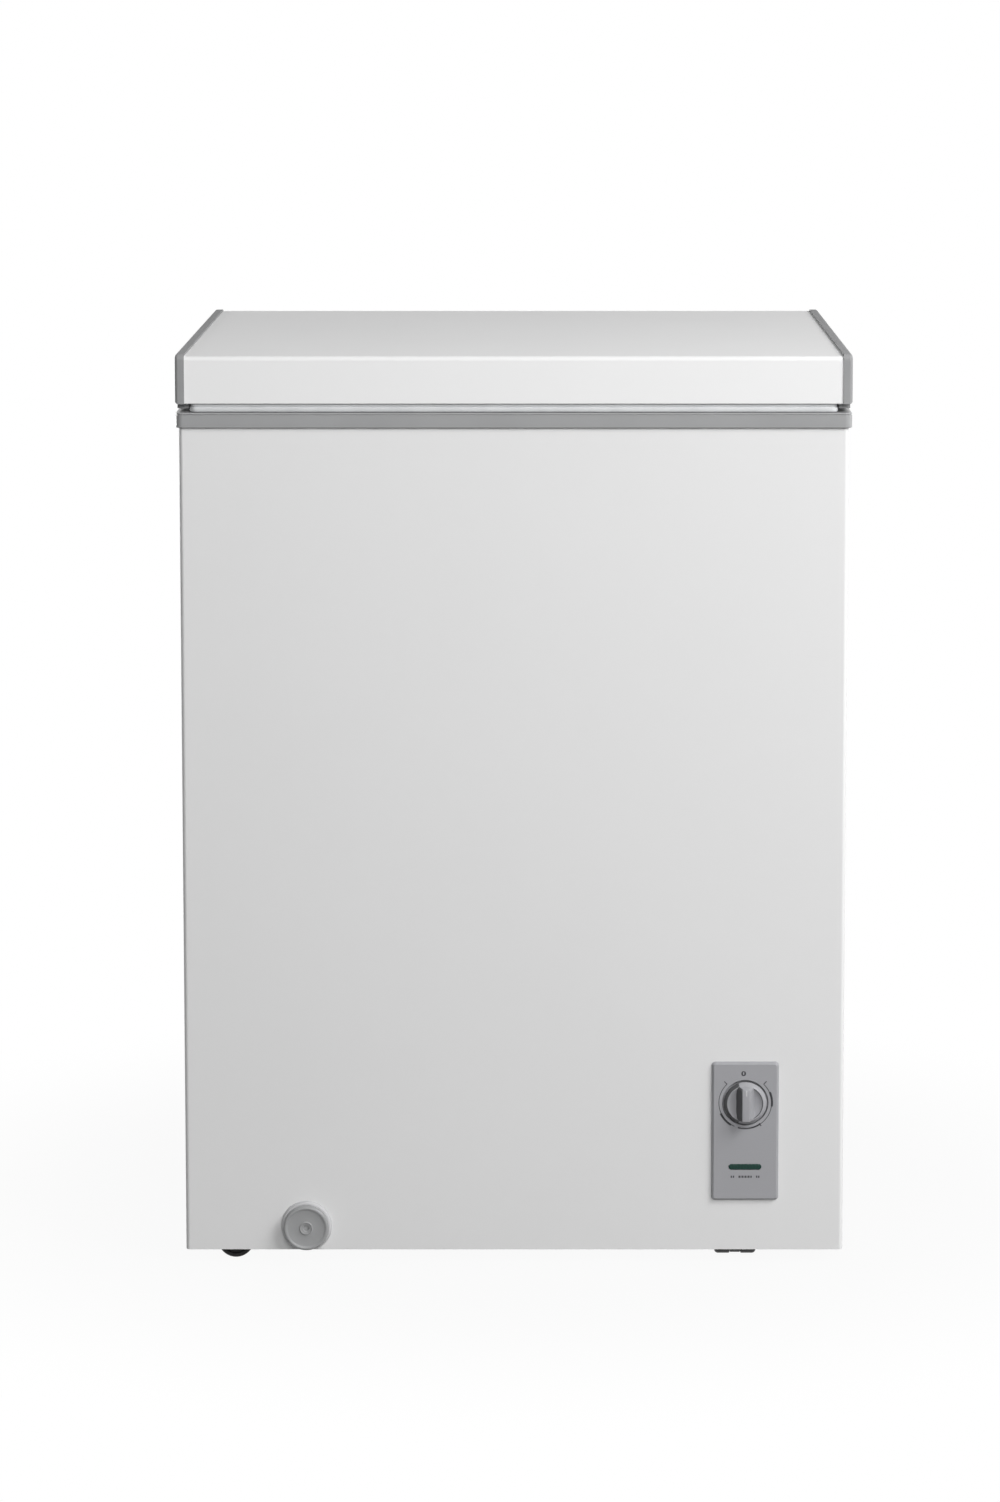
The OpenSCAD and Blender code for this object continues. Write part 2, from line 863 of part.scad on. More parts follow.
module compressor_bolts() {
    top = leg_z + leg_t + 4;
    color("silver")
        for_feet() {
            rod_z(bolt_r, base_z - 7, top + past);
            translate([0, 0, top])
                cylinder(r = 7.5, h = 3, $fn = 6);
            translate([0, 0, base_z - 4])
                cylinder(r = 7.5, h = 4, $fn = 6);
        }
}

module starter_cover() {
    color("black")
        difference() {
            box(shell_x - 26, shell_x + 26, shell_y - shell_r - 26, shell_y - shell_r * 0.7,
                shell_z + 34, shell_z + 98);
            translate([shell_x, shell_y, 0])
                rod_z(shell_r + 2 + seat, 0, space_top);
            // Spring clip groove round the cover
            translate([0, 0, shell_z + 64])
                difference() {
                    box(shell_x - 30, shell_x + 30, shell_y - shell_r - 30, shell_y, 0, 8);
                    box(shell_x - 25, shell_x + 25, shell_y - shell_r - 25, shell_y, -1, 9);
                }
        }
}

// Centres of the tubes that pass through the step panel
module tube_holes(gap) {
    for (t = [[drier_x, cond_r], [capillary_x, capillary_r], [suction_x, suction_r], [discharge_x, discharge_r]])
        translate([t[0], tube_y, 0])
            rod_z(t[1] + gap, space_top - past, space_top + sheet + tube_rise + gap);
}

module filter_drier() {
    half = [[0, 0], [capillary_r + 1.4, 0], [capillary_r + 1.4, 4], [drier_r, drier_neck], [0, drier_neck]];
    color("peru")
        translate([drier_x, tube_y, 0])
            difference() {
                union() {
                    rod_z(drier_r, drier_low, drier_top);
                    for (m = [0, 1])
                        translate([0, 0, m == 0 ? drier_low - drier_neck : drier_top + drier_neck])
                            mirror([0, 0, m])
                                rotate_extrude()
                                    polygon(half);
                }
            }
}

module refrigerant_tubes() {
    high = space_top + sheet + tube_rise;
    port_front = shell_y + shell_r + 4;
    turn = 3.5 * suction_r;
    low = drier_low - 3 * drier_neck;
    color("peru") {
        sweep(bend([[suction_x, port_front, port_z], [suction_x, tube_y, port_z],
                    [suction_x, tube_y, high]], turn, 4), suction_r, 8, [1, 0, 0]);
        sweep(bend([[discharge_x, port_front, port_z], [discharge_x, tube_y, port_z],
                    [discharge_x, tube_y, high]], turn, 4), discharge_r, 8, [1, 0, 0]);
        translate([drier_x, tube_y, 0])
            rod_z(cond_r, drier_top + drier_neck, high);
        sweep(bend([[drier_x, tube_y, drier_low - drier_neck], [drier_x, tube_y, low],
                    [capillary_x, tube_y, low], [capillary_x, tube_y, high]], 10, 4),
              capillary_r, 6, [0, 1, 0]);
    }
}

// ---------- rear cover ----------

cover_x0 = space_x - 6;
cover_x1 = case_x - 1;
cover_z0 = skirt_z + 1;
cover_z1 = space_top + 14;
cover_screws = [
    [cover_x0 + 12, cover_z1 - 7], [(cover_x0 + cover_x1) / 2, cover_z1 - 7], [cover_x1 - 8, cover_z1 - 7],
    [cover_x1 - 8, (cover_z0 + cover_z1) / 2], [cover_x1 - 8, cover_z0 + 44],
];
louvre_w = 60;
louvre_r = 4;
louvre_pitch = 14;
louvre_rows = 9;
gland_x = cover_x0 + 34;
gland_z = cover_z0 + 40;
gland_body_r = gland_r + 3.5;

module for_louvres() {
    for (x = [-1, 1], i = [0:louvre_rows - 1])
        translate([(cover_x0 + cover_x1) / 2 + x * (louvre_w / 2 + 8), back_y + sheet,
                   cover_z1 - 30 - i * louvre_pitch])
            children();
}

module rear_cover() {
    color("silver")
        difference() {
            union() {
                box(cover_x0, cover_x1, back_y, back_y + sheet, cover_z0, cover_z1);
                for_louvres()
                    intersection() {
                        rod_x(louvre_r, -louvre_w / 2, louvre_w / 2);
                        box(-louvre_w, louvre_w, -sheet / 2, louvre_r, 0, louvre_r);
                    }
            }
            for_louvres()
                translate([0, 0, -past])
                    intersection() {
                        rod_x(louvre_r - sheet, sheet - louvre_w / 2, louvre_w / 2 - sheet);
                        box(-louvre_w, louvre_w, -2 * sheet, louvre_r, -louvre_r, louvre_r);
                    }
            translate([gland_x, 0, gland_z])
                rod_y(gland_body_r + seat / 2, back_y - past, back_y + 2 * past);
            panel_screw_holes();
        }
}

module cord_gland() {
    color("black")
        translate([gland_x, 0, gland_z])
            difference() {
                union() {
                    rod_y(gland_body_r, back_y - 4, back_y + sheet + 2);
                    rod_y(gland_body_r + 3, back_y + sheet, back_y + sheet + 3);
                    rod_y(gland_body_r + 0.8, back_y - 4, back_y - seat);
                }
                rod_y(gland_r, back_y - 2 * 4, back_y + 2 * 4);
            }
}

module for_panel_screws() {
    for (s = cover_screws)
        translate([s.x, back_y + sheet, s.y])
            children();
}

module panel_screw_holes() {
    for_panel_screws()
        rod_y(screw_r + seat / 2, -5 * sheet, past);
}

module panel_screw_tips() {
    for_panel_screws()
        rod_y(screw_r + seat, -7, 0);
}

// ---------- hinges ----------

module at_hinge(side) {
    translate([side * hinge_x, pivot_y, pivot_z])
        children();
}

module for_hinge_screws() {
    for (x = [-1, 1], z = hinge_screw_z)
        translate([x * hinge_screw_x, hinge_sheet - pivot_back, z])
            children();
}

module hinge_screw_holes(gap) {
    for (s = [-1, 1])
        at_hinge(s)
            for_hinge_screws()
                rod_y(screw_r + gap, -10, 0);
}

module cheek_2d() {
    difference() {
        union() {
            circle(cheek_r);
            translate([-pivot_back, -hinge_len])
                square([hinge_depth, hinge_len]);
        }
        // Clears the collar's overhang
        translate([-pivot_back - past, rim_z - pivot_z - 2])
            square([pivot_back - cheek_r + past, hinge_len]);
    }
}

module hinge_bracket(side) {
    color("lightsteelblue")
        at_hinge(side)
            difference() {
                union() {
                    along_x(-hinge_w / 2, hinge_sheet - hinge_w / 2)
                        cheek_2d();
                    along_x(hinge_w / 2 - hinge_sheet, hinge_w / 2)
                        cheek_2d();
                    box(-hinge_w / 2, hinge_w / 2, cheek_r - hinge_sheet, cheek_r,
                        -hinge_len, -hub_r - 1.5);
                    box(-hinge_w / 2, hinge_w / 2, -pivot_back, cheek_r, -hinge_len, spring_low);
                    box(-hinge_w / 2 - hinge_foot, -hinge_w / 2 + hinge_sheet, -pivot_back,
                        hinge_sheet - pivot_back, -hinge_len, foot_top);
                    box(hinge_w / 2 - hinge_sheet, hinge_w / 2 + hinge_foot, -pivot_back,
                        hinge_sheet - pivot_back, -hinge_len, foot_top);
                    translate([0, spring_y, 0])
                        rod_z(spring_pin_r, -hinge_len, spring_low + spring_pin_h);
                }
                rod_x(pin_r + run, -hinge_w, hinge_w);
                // The spring shows through a window in the channel
                translate([0, 0, (spring_low + plunger_bottom) / 2])
                    along_y(cheek_r - 2 * hinge_sheet, cheek_r + past)
                        rotate(90)
                            slot_2d(70, 9);
                for_hinge_screws()
                    rod_y(screw_r + seat / 2, -2 * hinge_sheet, past);
            }
}

module hinge_pins() {
    color("silver")
        for (s = [-1, 1])
            at_hinge(s) {
                rod_x(pin_r, -hinge_w / 2 - 2, hinge_w / 2 + 2);
                for (m = [0, 1])
                    mirror([m, 0, 0])
                        rod_x(pin_r + 1.8, hinge_w / 2 + seat / 2, hinge_w / 2 + 2);
            }
}

module hinge_anchor_plates() {
    color("silver")
        difference() {
            for (s = [-1, 1])
                at_hinge(s)
                    box(-hinge_w / 2 - hinge_foot, hinge_w / 2 + hinge_foot,
                        -pivot_back - sheet - anchor_t, -pivot_back - sheet,
                        -hinge_len, foot_top);
            hinge_screw_holes(seat / 2);
        }
}

// Support of the cam in the direction a degrees from straight down, towards the back
function cam_support(a) = cam_low - cam_rate * a * PI / 180;

function cam_point(a) =
    cam_support(a) * [sin(a), -cos(a)] - cam_rate * [cos(a), sin(a)];

module hinge_arm(side) {
    color("lightsteelblue")
        at_hinge(side)
            difference() {
                union() {
                    // Web on the back of the lid
                    box(-arm_x, arm_x, arm_front, arm_front + hinge_sheet, arm_low, arm_top);
                    // Cheeks from the web to the hub
                    for (x = [-arm_x, arm_x - hinge_sheet])
                        along_x(x, x + hinge_sheet) {
                            circle(hub_r);
                            polygon([[arm_front, arm_low], [arm_front, arm_top],
                                     [arm_front + 4, arm_top], [hub_r, arm_low + 4], [hub_r, 0],
                                     [0, 0]]);
                        }
                    // Hub and involute cam
                    along_x(-arm_x, arm_x) {
                        circle(hub_r);
                        polygon(concat([for (a = [-cam_lead:cam_lead:lid_opening + cam_lead]) cam_point(a)],
                                       [[0, 0], [-hub_r, 0]]));
                    }
                }
                rod_x(pin_r + run, -hinge_w, hinge_w);
                for (z = arm_screw_z)
                    translate([0, arm_front, z])
                        rod_y(screw_r + seat / 2, -past, hinge_sheet + past);
            }
}

module hinge_plunger(side) {
    color("ivory")
        at_hinge(side)
            union() {
                box(-hinge_w / 2 + hinge_sheet + slack, hinge_w / 2 - hinge_sheet - slack,
                    plunger_front, plunger_back, plunger_bottom, plunger_top);
                translate([0, spring_y, 0])
                    rod_z(spring_pin_r, plunger_bottom - spring_pin_h, plunger_bottom + past);
            }
}

module hinge_spring(side) {
    steps = 10;
    low = spring_low + spring_wire_r + seat / 2;
    high = plunger_bottom - spring_wire_r - seat / 2;
    // The two end turns lie close
    close = 2 * spring_wire_r + seat;
    open = (high - low - 2 * close) / (spring_turns - 2);
    color("gray")
        at_hinge(side)
            translate([0, spring_y, 0])
                sweep([for (i = [0:spring_turns * steps])
                           let (n = i / steps, m = min(max(n - 1, 0), spring_turns - 2))
                           [spring_r * cos(360 * n), spring_r * sin(360 * n),
                            low + m * open + (n - m) * close]],
                      spring_wire_r, 6, [0, 0, 1]);
}

// Screws of the rear cover and of both hinge brackets
module panel_screws() {
    color("silver") {
        for_panel_screws()
            screw_y(5);
        for (s = [-1, 1])
            at_hinge(s)
                for_hinge_screws()
                    screw_y(8);
    }
}

// ---------- lid ----------

// Y-Z outline with two round upper corners
module lid_outline(y0, y1, z0, z1, front_r, back_r) {
    translate([y0 + front_r, z0])
        square([y1 - y0 - front_r - back_r, z1 - z0]);
    translate([y0, z0])
        square([front_r + past, z1 - z0 - front_r]);
    translate([y1 - back_r - past, z0])
        square([back_r + past, z1 - z0 - back_r]);
    translate([y0 + front_r, z1 - front_r])
        circle(front_r);
    translate([y1 - back_r, z1 - back_r])
        circle(back_r);
}

module panel_outline(inset) {
    lid_outline(panel_front + inset, panel_back - inset, lid_z, panel_top - inset,
                panel_edge_r - inset, panel_edge_r - inset);
}

module lid_panel() {
    color("white")
        difference() {
            union() {
                along_x(-panel_x, panel_x)
                    difference() {
                        panel_outline(0);
                        panel_outline(sheet);
                    }
                for (y = [panel_front, panel_back - case_flange])
                    box(-panel_x, panel_x, y, y + case_flange, lid_z, lid_z + sheet);
            }
            // Ends set down under the lips of the end caps
            for (s = [-1, 1])
                translate([s * (lid_x - seat), 0, 0])
                    box(-cap_w, cap_w, lid_front, lid_back, panel_top - seat, panel_top + past);
            arm_screw_holes(seat / 2);
        }
}

module arm_screw_holes(gap) {
    for (s = [-1, 1], z = arm_screw_z)
        translate([s * hinge_x, panel_back, pivot_z + z])
            rod_y(screw_r + gap, -8, past);
}

module lid_screws() {
    color("silver")
        for (s = [-1, 1], z = arm_screw_z)
            translate([s * hinge_x, panel_back + hinge_sheet, pivot_z + z])
                screw_y(8);
}

module lid_cap(side) {
    color("darkgray")
        mirror([side < 0 ? 1 : 0, 0, 0])
            difference() {
                union() {
                    along_x(lid_x - cap_plate, lid_x)
                        lid_outline(lid_front, lid_back, lid_z, lid_top, cap_front_r, cap_back_r);
                    // Lips over the ends of the panel
                    along_x(lid_x - cap_w, lid_x - cap_plate + past / 2)
                        difference() {
                            lid_outline(lid_front, lid_back, lid_z, lid_top, cap_front_r, cap_back_r);
                            translate([0, -past])
                                lid_outline(panel_front - 0.1, panel_back + 0.1, lid_z,
                                            panel_top + past + 0.1, panel_edge_r, panel_edge_r);
                        }
                }
                // Shallow panel in the outer face
                along_x(lid_x - 0.6, lid_x + past)
                    lid_outline(lid_front + 5, lid_back - 5, lid_z + 5, lid_top - 5,
                                cap_front_r - 2, cap_back_r - 2);
            }
}

// Plan of the raised panel of the lining
module plug_plan(grow) {
    rounded_rect(mouth_w - 2 * plug_inset + 2 * grow, mouth_d - 2 * plug_inset + 2 * grow,
                 well_corner_r - lip_t);
}

module lid_liner() {
    top = lid_z + sheet + lid_liner_t;
    bottom = lid_z - plug_drop;
    color("white")
        difference() {
            union() {
                box(-panel_x, panel_x, panel_front + sheet, panel_back - sheet, lid_z + sheet, top);
                layer(bottom, top)
                    plug_plan(0);
            }
            layer(bottom + lid_liner_t, top + past)
                plug_plan(-lid_liner_t);
        }
}

module lid_foam() {
    low = lid_z + sheet + lid_liner_t;
    color("khaki")
        difference() {
            union() {
                along_x(-panel_x, panel_x)
                    lid_outline(panel_front + sheet, panel_back - sheet, low, panel_top - sheet,
                                panel_edge_r - sheet, panel_edge_r - sheet);
                layer(lid_z - plug_drop + lid_liner_t, low + past)
                    plug_plan(-lid_liner_t);
            }
            arm_screw_holes(seat);
        }
}

module gasket() {
    w = 2 * (lid_x - gasket_side);
    d = case_d + 2 * collar_over - 2 * gasket_front;
    color("gainsboro") {
        layer(lid_z - 2, lid_z - seat / 2)
            ring_2d(w - 1, d - 1, 6, gasket_w - 1);
        layer(collar_z + seat, lid_z - 1.5)
            ring_2d(w, d, 6.5, gasket_w - 3);
    }
}

// ---------- controls ----------

module at_bezel() {
    translate([bezel_x, 0, bezel_z])
        children();
}

module control_bezel() {
    color("darkgray")
        at_bezel()
            difference() {
                union() {
                    hull() {
                        along_y(front_y - 1, front_y)
                            rounded_rect(bezel_w, bezel_h, 3.5, $fn = 32);
                        along_y(front_y - bezel_t, front_y - 1)
                            rounded_rect(bezel_w - 2 * bezel_bevel, bezel_h - 2 * bezel_bevel, 2, $fn = 32);
                    }
                    along_y(front_y, front_y + 12)
                        ring_2d(bezel_w - 2 * window_lap, bezel_h - 2 * window_lap, 2, 2);
                }
                translate([0, 0, knob_up]) {
                    rod_y(neck_r + seat, front_y - 2 * bezel_t, front_y + past);
                    // Dish that the knob sits in
                    rod_y(knob_r + 1.2, front_y - bezel_t - past, front_y - bezel_t + 0.8);
                }
                translate([0, 0, -lens_down])
                    along_y(front_y - 2 * bezel_t, front_y + past)
                        slot_2d(lens_w + seat, lens_h + seat);
            }
}

module thermostat() {
    color("dimgray")
        translate([bezel_x, 0, knob_z])
            difference() {
                union() {
                    box(-21, 21, front_y + 2, front_y + 26, -19, 19);
                    // Mounting plate behind the bezel
                    box(-24, 24, front_y + seat, front_y + 2.5, -12, 12);
                    rod_y(neck_r, front_y - bezel_t + 0.8, front_y + 3);
                    // Terminals
                    for (x = [-1, 1])
                        box(x * 10 - 3, x * 10 + 3, front_y + 25, front_y + 34, -0.5, 0.5);
                    // Capillary of the sensing bulb
                    translate([0, front_y + 18, 0])
                        rod_z(1.5, 18, 34);
                }
                rod_y(shaft_r + run, front_y - 2 * bezel_t, front_y + 10);
            }
}

module thermostat_shaft() {
    color("silver")
        translate([bezel_x, 0, knob_z])
            rod_y(shaft_r, knob_top + 6, front_y + 9.5);
}

module thermostat_knob() {
    back = front_y - bezel_t - knob_gap;
    skirt = back - knob_skirt;
    color("silver")
        translate([bezel_x, 0, knob_z])
            difference() {
                union() {
                    rod_y(knob_r, skirt + 1.2, back);
                    // Chamfered edge
                    translate([0, skirt, 0])
                        rotate([-90, 0, 0])
                            cylinder(r1 = knob_r - 1.2, r2 = knob_r, h = 1.2 + seat / 10);
                    // Grip bar, tapered towards its top
                    intersection() {
                        hull() {
                            along_y(skirt + 0.5, skirt + 1.5)
                                slot_2d_z(2 * knob_r - 3, grip_w, $fn = 32);
                            along_y(knob_top, knob_top + 1)
                                slot_2d_z(2 * knob_r - 8, grip_w - 4, $fn = 32);
                        }
                        rod_y(knob_r, knob_top - past, back);
                    }
                }
                // Dished face on both sides of the bar
                difference() {
                    rod_y(knob_r - 2.2, skirt - past, skirt + 1.4);
                    along_y(skirt - 2 * past, skirt + 2 * past)
                        square([grip_w, 2 * knob_r], center = true);
                }
                // Pointer groove
                box(-0.8, 0.8, knob_top - past, knob_top + 0.8, knob_r / 3, knob_r);
                rod_y(shaft_r + run / 2, knob_top + 5, back + past);
            }
}

module slot_2d_z(h, w) {
    rotate(90)
        slot_2d(h, w);
}

module indicator_lens() {
    color("darkgreen")
        translate([bezel_x, 0, lens_z]) {
            along_y(front_y - bezel_t - 0.4, front_y + past)
                slot_2d(lens_w, lens_h);
            along_y(front_y, front_y + 1.5)
                slot_2d(lens_w + 3, lens_h + 3);
        }
}

module indicator_lamp() {
    color("ivory")
        translate([bezel_x, 0, lens_z]) {
            box(-20, 20, front_y + 1.5 + seat, front_y + 9, -6, 6);
            for (x = [-1, 1])
                box(x * 12 - 1.5, x * 12 + 1.5, front_y + 8, front_y + 15, -3, 3);
        }
}

// ---------- drain ----------

module drain_pipe() {
    color("gray")
        translate([drain_x, 0, 0])
            difference() {
                union() {
                    translate([0, drain_y, 0])
                        rod_z(pipe_r, drain_z - pipe_r - 1, well_floor - liner_t);
                    translate([0, 0, drain_z])
                        rod_y(run_pipe_r, front_y + socket_len, drain_y);
                }
                translate([0, drain_y, 0])
                    rod_z(pipe_bore_r, drain_z - pipe_bore_r, well_floor);
                translate([0, 0, drain_z])
                    rod_y(run_bore_r, front_y, drain_y);
            }
}

module drain_inlet() {
    color("white")
        translate([drain_x, drain_y, well_floor])
            difference() {
                union() {
                    rod_z(18, 0, 1.5);
                    rod_z(pipe_bore_r - seat, -16, 1);
                }
                rod_z(plug_r + 0.1, -20, 5);
                // Sloping mouth
                translate([0, 0, 0.5])
                    cylinder(r1 = plug_r + 0.1, r2 = plug_r + 3, h = past + 0.01);
            }
}

module drain_plug() {
    color("gray")
        translate([drain_x, drain_y, well_floor + 1.5 + seat]) {
            rod_z(plug_r, -12, 1);
            rod_z(12, 0, 3);
            // Finger ring
            translate([0, 0, 9])
                rotate([90, 0, 0])
                    rotate_extrude()
                        translate([7, 0])
                            circle(1.6);
        }
}

module drain_socket() {
    color("lightgray")
        translate([drain_x, 0, drain_z])
            difference() {
                union() {
                    translate([0, front_y - flange_t, 0])
                        rotate([-90, 0, 0])
                            cylinder(r1 = flange_r - 2, r2 = flange_r, h = flange_t);
                    rod_y(socket_r, front_y - 1, front_y + socket_len);
                }
                rod_y(sleeve_r + run, front_y - 2 * flange_t, sleeve_back + seat);
                rod_y(run_bore_r, front_y, front_y + 2 * socket_len);
                // Flat along the case's lower edge
                box(-flange_r, flange_r, front_y - 2 * flange_t, front_y,
                    -2 * flange_r, skirt_z + 0.5 - drain_z);
            }
}

module drain_sleeve() {
    color("white")
        translate([drain_x, 0, drain_z])
            difference() {
                rod_y(sleeve_r, sleeve_front + seat, sleeve_back);
                rod_y(sleeve_r - drain_wall, sleeve_front - past, sleeve_back + past);
                // Port on the lower side
                translate([0, port_y, 0])
                    rod_z(1.6, -2 * sleeve_r, 0);
            }
}

// The dial's outlet points up when the drain is shut
module drain_dial() {
    outline = [[0, 0], [dial_r - 0.8, 0], [dial_r, -0.8], [dial_r, 1.5 - dial_t], [dial_r - 1.5, -dial_t],
               [dial_r - 3.2, -dial_t], [dial_r - 4, 1 - dial_t], [7.6, 1 - dial_t], [7, -dial_t],
               [4, -dial_t], [3.4, 1.4 - dial_t], [0, 1.4 - dial_t]];
    color("gray")
        translate([drain_x, 0, drain_z])
            difference() {
                translate([0, dial_back, 0])
                    rotate([-90, 0, 0])
                        rotate_extrude()
                            polygon(outline);
                rod_y(sleeve_r + run, sleeve_front, dial_back + past);
                translate([0, port_y, 0])
                    rod_z(1.6, 0, 2 * dial_r);
            }
}

// ---------- basket ----------

module wire(a, b, r) {
    v = b - a;
    translate(a)
        rotate([0, acos(v.z / norm(v)), atan2(v.y, v.x)])
            cylinder(r = r, h = norm(v));
}

basket_half_w = basket_w / 2 - rim_wire_r;
basket_half_d = basket_d / 2 - rim_wire_r;
function across_x(i) = basket_x - basket_half_w + (i + 0.5) * 2 * basket_half_w / grid_count_x;
function along_basket(j) = mid_y - basket_half_d + (j + 0.5) * 2 * basket_half_d / grid_count_y;

module basket_floor() {
    z = basket_low + grid_wire_r;
    color("white") {
        for (i = [0:grid_count_x - 1])
            wire([across_x(i), mid_y - basket_half_d, z], [across_x(i), mid_y + basket_half_d, z], grid_wire_r);
        for (j = [1:3:grid_count_y - 1])
            wire([basket_x - basket_half_w, along_basket(j), z + 1.7 * grid_wire_r],
                 [basket_x + basket_half_w, along_basket(j), z + 1.7 * grid_wire_r], grid_wire_r);
    }
}

// Front and back walls, with the hooks that ride on the collar
module basket_sides() {
    low = basket_low + 2 * grid_wire_r + seat;
    color("white")
        for (s = [-1, 1]) {
            y = mid_y + s * (basket_half_d - grid_wire_r);
            for (i = [0:grid_count_x - 1])
                wire([across_x(i), y, low], [across_x(i), y, basket_top], grid_wire_r);
            for (z = [basket_top, basket_top - 50, basket_top - 100])
                wire([basket_x - basket_half_w, y + s * 1.7 * grid_wire_r, z],
                     [basket_x + basket_half_w, y + s * 1.7 * grid_wire_r, z],
                     z == basket_top ? rim_wire_r : grid_wire_r);
            for (i = [0, grid_count_x - 1]) {
                x = across_x(i) + (i == 0 ? 3 : -3) * grid_wire_r;
                hook_y = mid_y + s * (mouth_d / 2 - 3);
                sweep(bend([[x, y + s * grid_wire_r, basket_top], [x, hook_y, basket_top + 5],
                            [x, hook_y, hook_z], [x, hook_y + s * 15, hook_z]], 2.5, 3),
                      grid_wire_r, 8, [1, 0, 0]);
            }
        }
}

module basket_ends() {
    low = basket_low + 3.7 * grid_wire_r + seat;
    reach = basket_half_d + 0.7 * grid_wire_r - rim_wire_r - seat;
    color("white")
        for (s = [-1, 1]) {
            x = basket_x + s * (basket_half_w - grid_wire_r);
            for (j = [0:grid_count_y - 1])
                wire([x, along_basket(j), low], [x, along_basket(j), basket_top], grid_wire_r);
            for (z = [basket_top, basket_top - 50, basket_top - 100])
                wire([x + s * 1.7 * grid_wire_r, mid_y - reach, z],
                     [x + s * 1.7 * grid_wire_r, mid_y + reach, z],
                     z == basket_top ? rim_wire_r : grid_wire_r);
        }
}

// ---------- casters ----------

module at_caster(i) {
    translate([caster_at[i].x, caster_at[i].y, 0])
        rotate(caster_turn[i])
            children();
}

module caster_stems() {
    color("silver")
        for (i = [0:3])
            at_caster(i) {
                rod_z(stem_r, stem_low + 1, base_z + nut_h);
                translate([0, 0, base_z - 2.5])
                    cylinder(r = 10, h = 2.5, $fn = 6);
            }
}

module caster_fork(i) {
    color("black")
        at_caster(i)
            difference() {
                union() {
                    rod_z(8.5, stem_low, base_z - 2.5 - seat);
                    translate([-trail, 0, wheel_r]) {
                        rod_y(wheel_r - 0.8, -web_w / 2, web_w / 2);
                        // Fender over both wheels
                        difference() {
                            rod_y(fender_r + fender_t, -wheel_out + 0.5, wheel_out - 0.5);
                            rod_y(fender_r, -wheel_out, wheel_out);
                            box(-2 * wheel_r, 2 * wheel_r, -wheel_out, wheel_out, -2 * wheel_r, 4);
                        }
                        // Web up to the fender
                        box(-wheel_r * 0.7, wheel_r * 0.7, -web_w / 2, web_w / 2, 6, wheel_r - past);
                        box(-wheel_r * 0.45, wheel_r * 0.45, -web_w / 2, web_w / 2, 6, fender_r + fender_t / 2);
                    }
                }
                rod_z(stem_r + run, stem_low + 0.5, base_z);
                translate([-trail, 0, wheel_r])
                    rod_y(axle_r + run, -wheel_r, wheel_r);
            }
}

module caster_wheels(i) {
    tread = [[0, 0], [wheel_r, 0], [wheel_r, wheel_w - wheel_edge_r], [wheel_r - wheel_edge_r, wheel_w],
             [0, wheel_w]];
    color("black")
        at_caster(i)
            translate([-trail, 0, wheel_r]) {
                rod_y(axle_r, -wheel_in - past, wheel_in + past);
                for (m = [0, 1])
                    mirror([0, m, 0])
                        difference() {
                            union() {
                                rod_y(wheel_r, wheel_in, wheel_out - wheel_edge_r);
                                rod_y(wheel_r - wheel_edge_r, wheel_in, wheel_out);
                                translate([0, wheel_out - wheel_edge_r, 0])
                                    rotate([-90, 0, 0])
                                        rotate_extrude()
                                            translate([wheel_r - wheel_edge_r, 0])
                                                circle(wheel_edge_r);
                            }
                            // Dished outer face round the hub
                            difference() {
                                rod_y(wheel_r - wheel_edge_r - 1, wheel_out - 1.5, wheel_out + past);
                                rod_y(5, wheel_out - 2, wheel_out + past);
                            }
                        }
            }
}

outer_case();
back_panel();
base_plate();
compressor_tray();
step_panel();
cabinet_foam();
liner();
collar();
evaporator_tube();
condenser_tube();
compressor();
compressor_grommets();
compressor_bolts();
starter_cover();
filter_drier();
refrigerant_tubes();
rear_cover();
cord_gland();
panel_screws();
control_bezel();
thermostat();
thermostat_shaft();
thermostat_knob();
indicator_lens();
indicator_lamp();
drain_pipe();
drain_inlet();
drain_plug();
drain_socket();
drain_sleeve();
drain_dial();
hinge_bracket(-1);  // hinge_bracket_left
hinge_bracket(1);  // hinge_bracket_right
hinge_pins();
hinge_anchor_plates();
hinge_plunger(-1);  // hinge_plunger_left
hinge_plunger(1);  // hinge_plunger_right
hinge_spring(-1);  // hinge_spring_left
hinge_spring(1);  // hinge_spring_right
hinge_arm(-1);  // hinge_arm_left
hinge_arm(1);  // hinge_arm_right
lid_screws();
lid_panel();
lid_foam();
lid_liner();
lid_cap(-1);  // lid_cap_left
lid_cap(1);  // lid_cap_right
gasket();
basket_floor();
basket_sides();
basket_ends();
caster_stems();
caster_fork(0);  // caster_fork_front_left
caster_fork(1);  // caster_fork_front_right
caster_fork(2);  // caster_fork_rear_left
caster_fork(3);  // caster_fork_rear_right
caster_wheels(0);  // caster_wheels_front_left
caster_wheels(1);  // caster_wheels_front_right
caster_wheels(2);  // caster_wheels_rear_left
caster_wheels(3);  // caster_wheels_rear_right
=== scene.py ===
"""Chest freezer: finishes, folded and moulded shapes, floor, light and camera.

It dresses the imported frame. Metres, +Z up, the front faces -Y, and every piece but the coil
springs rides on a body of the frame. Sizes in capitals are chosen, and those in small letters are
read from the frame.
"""

import json
import math

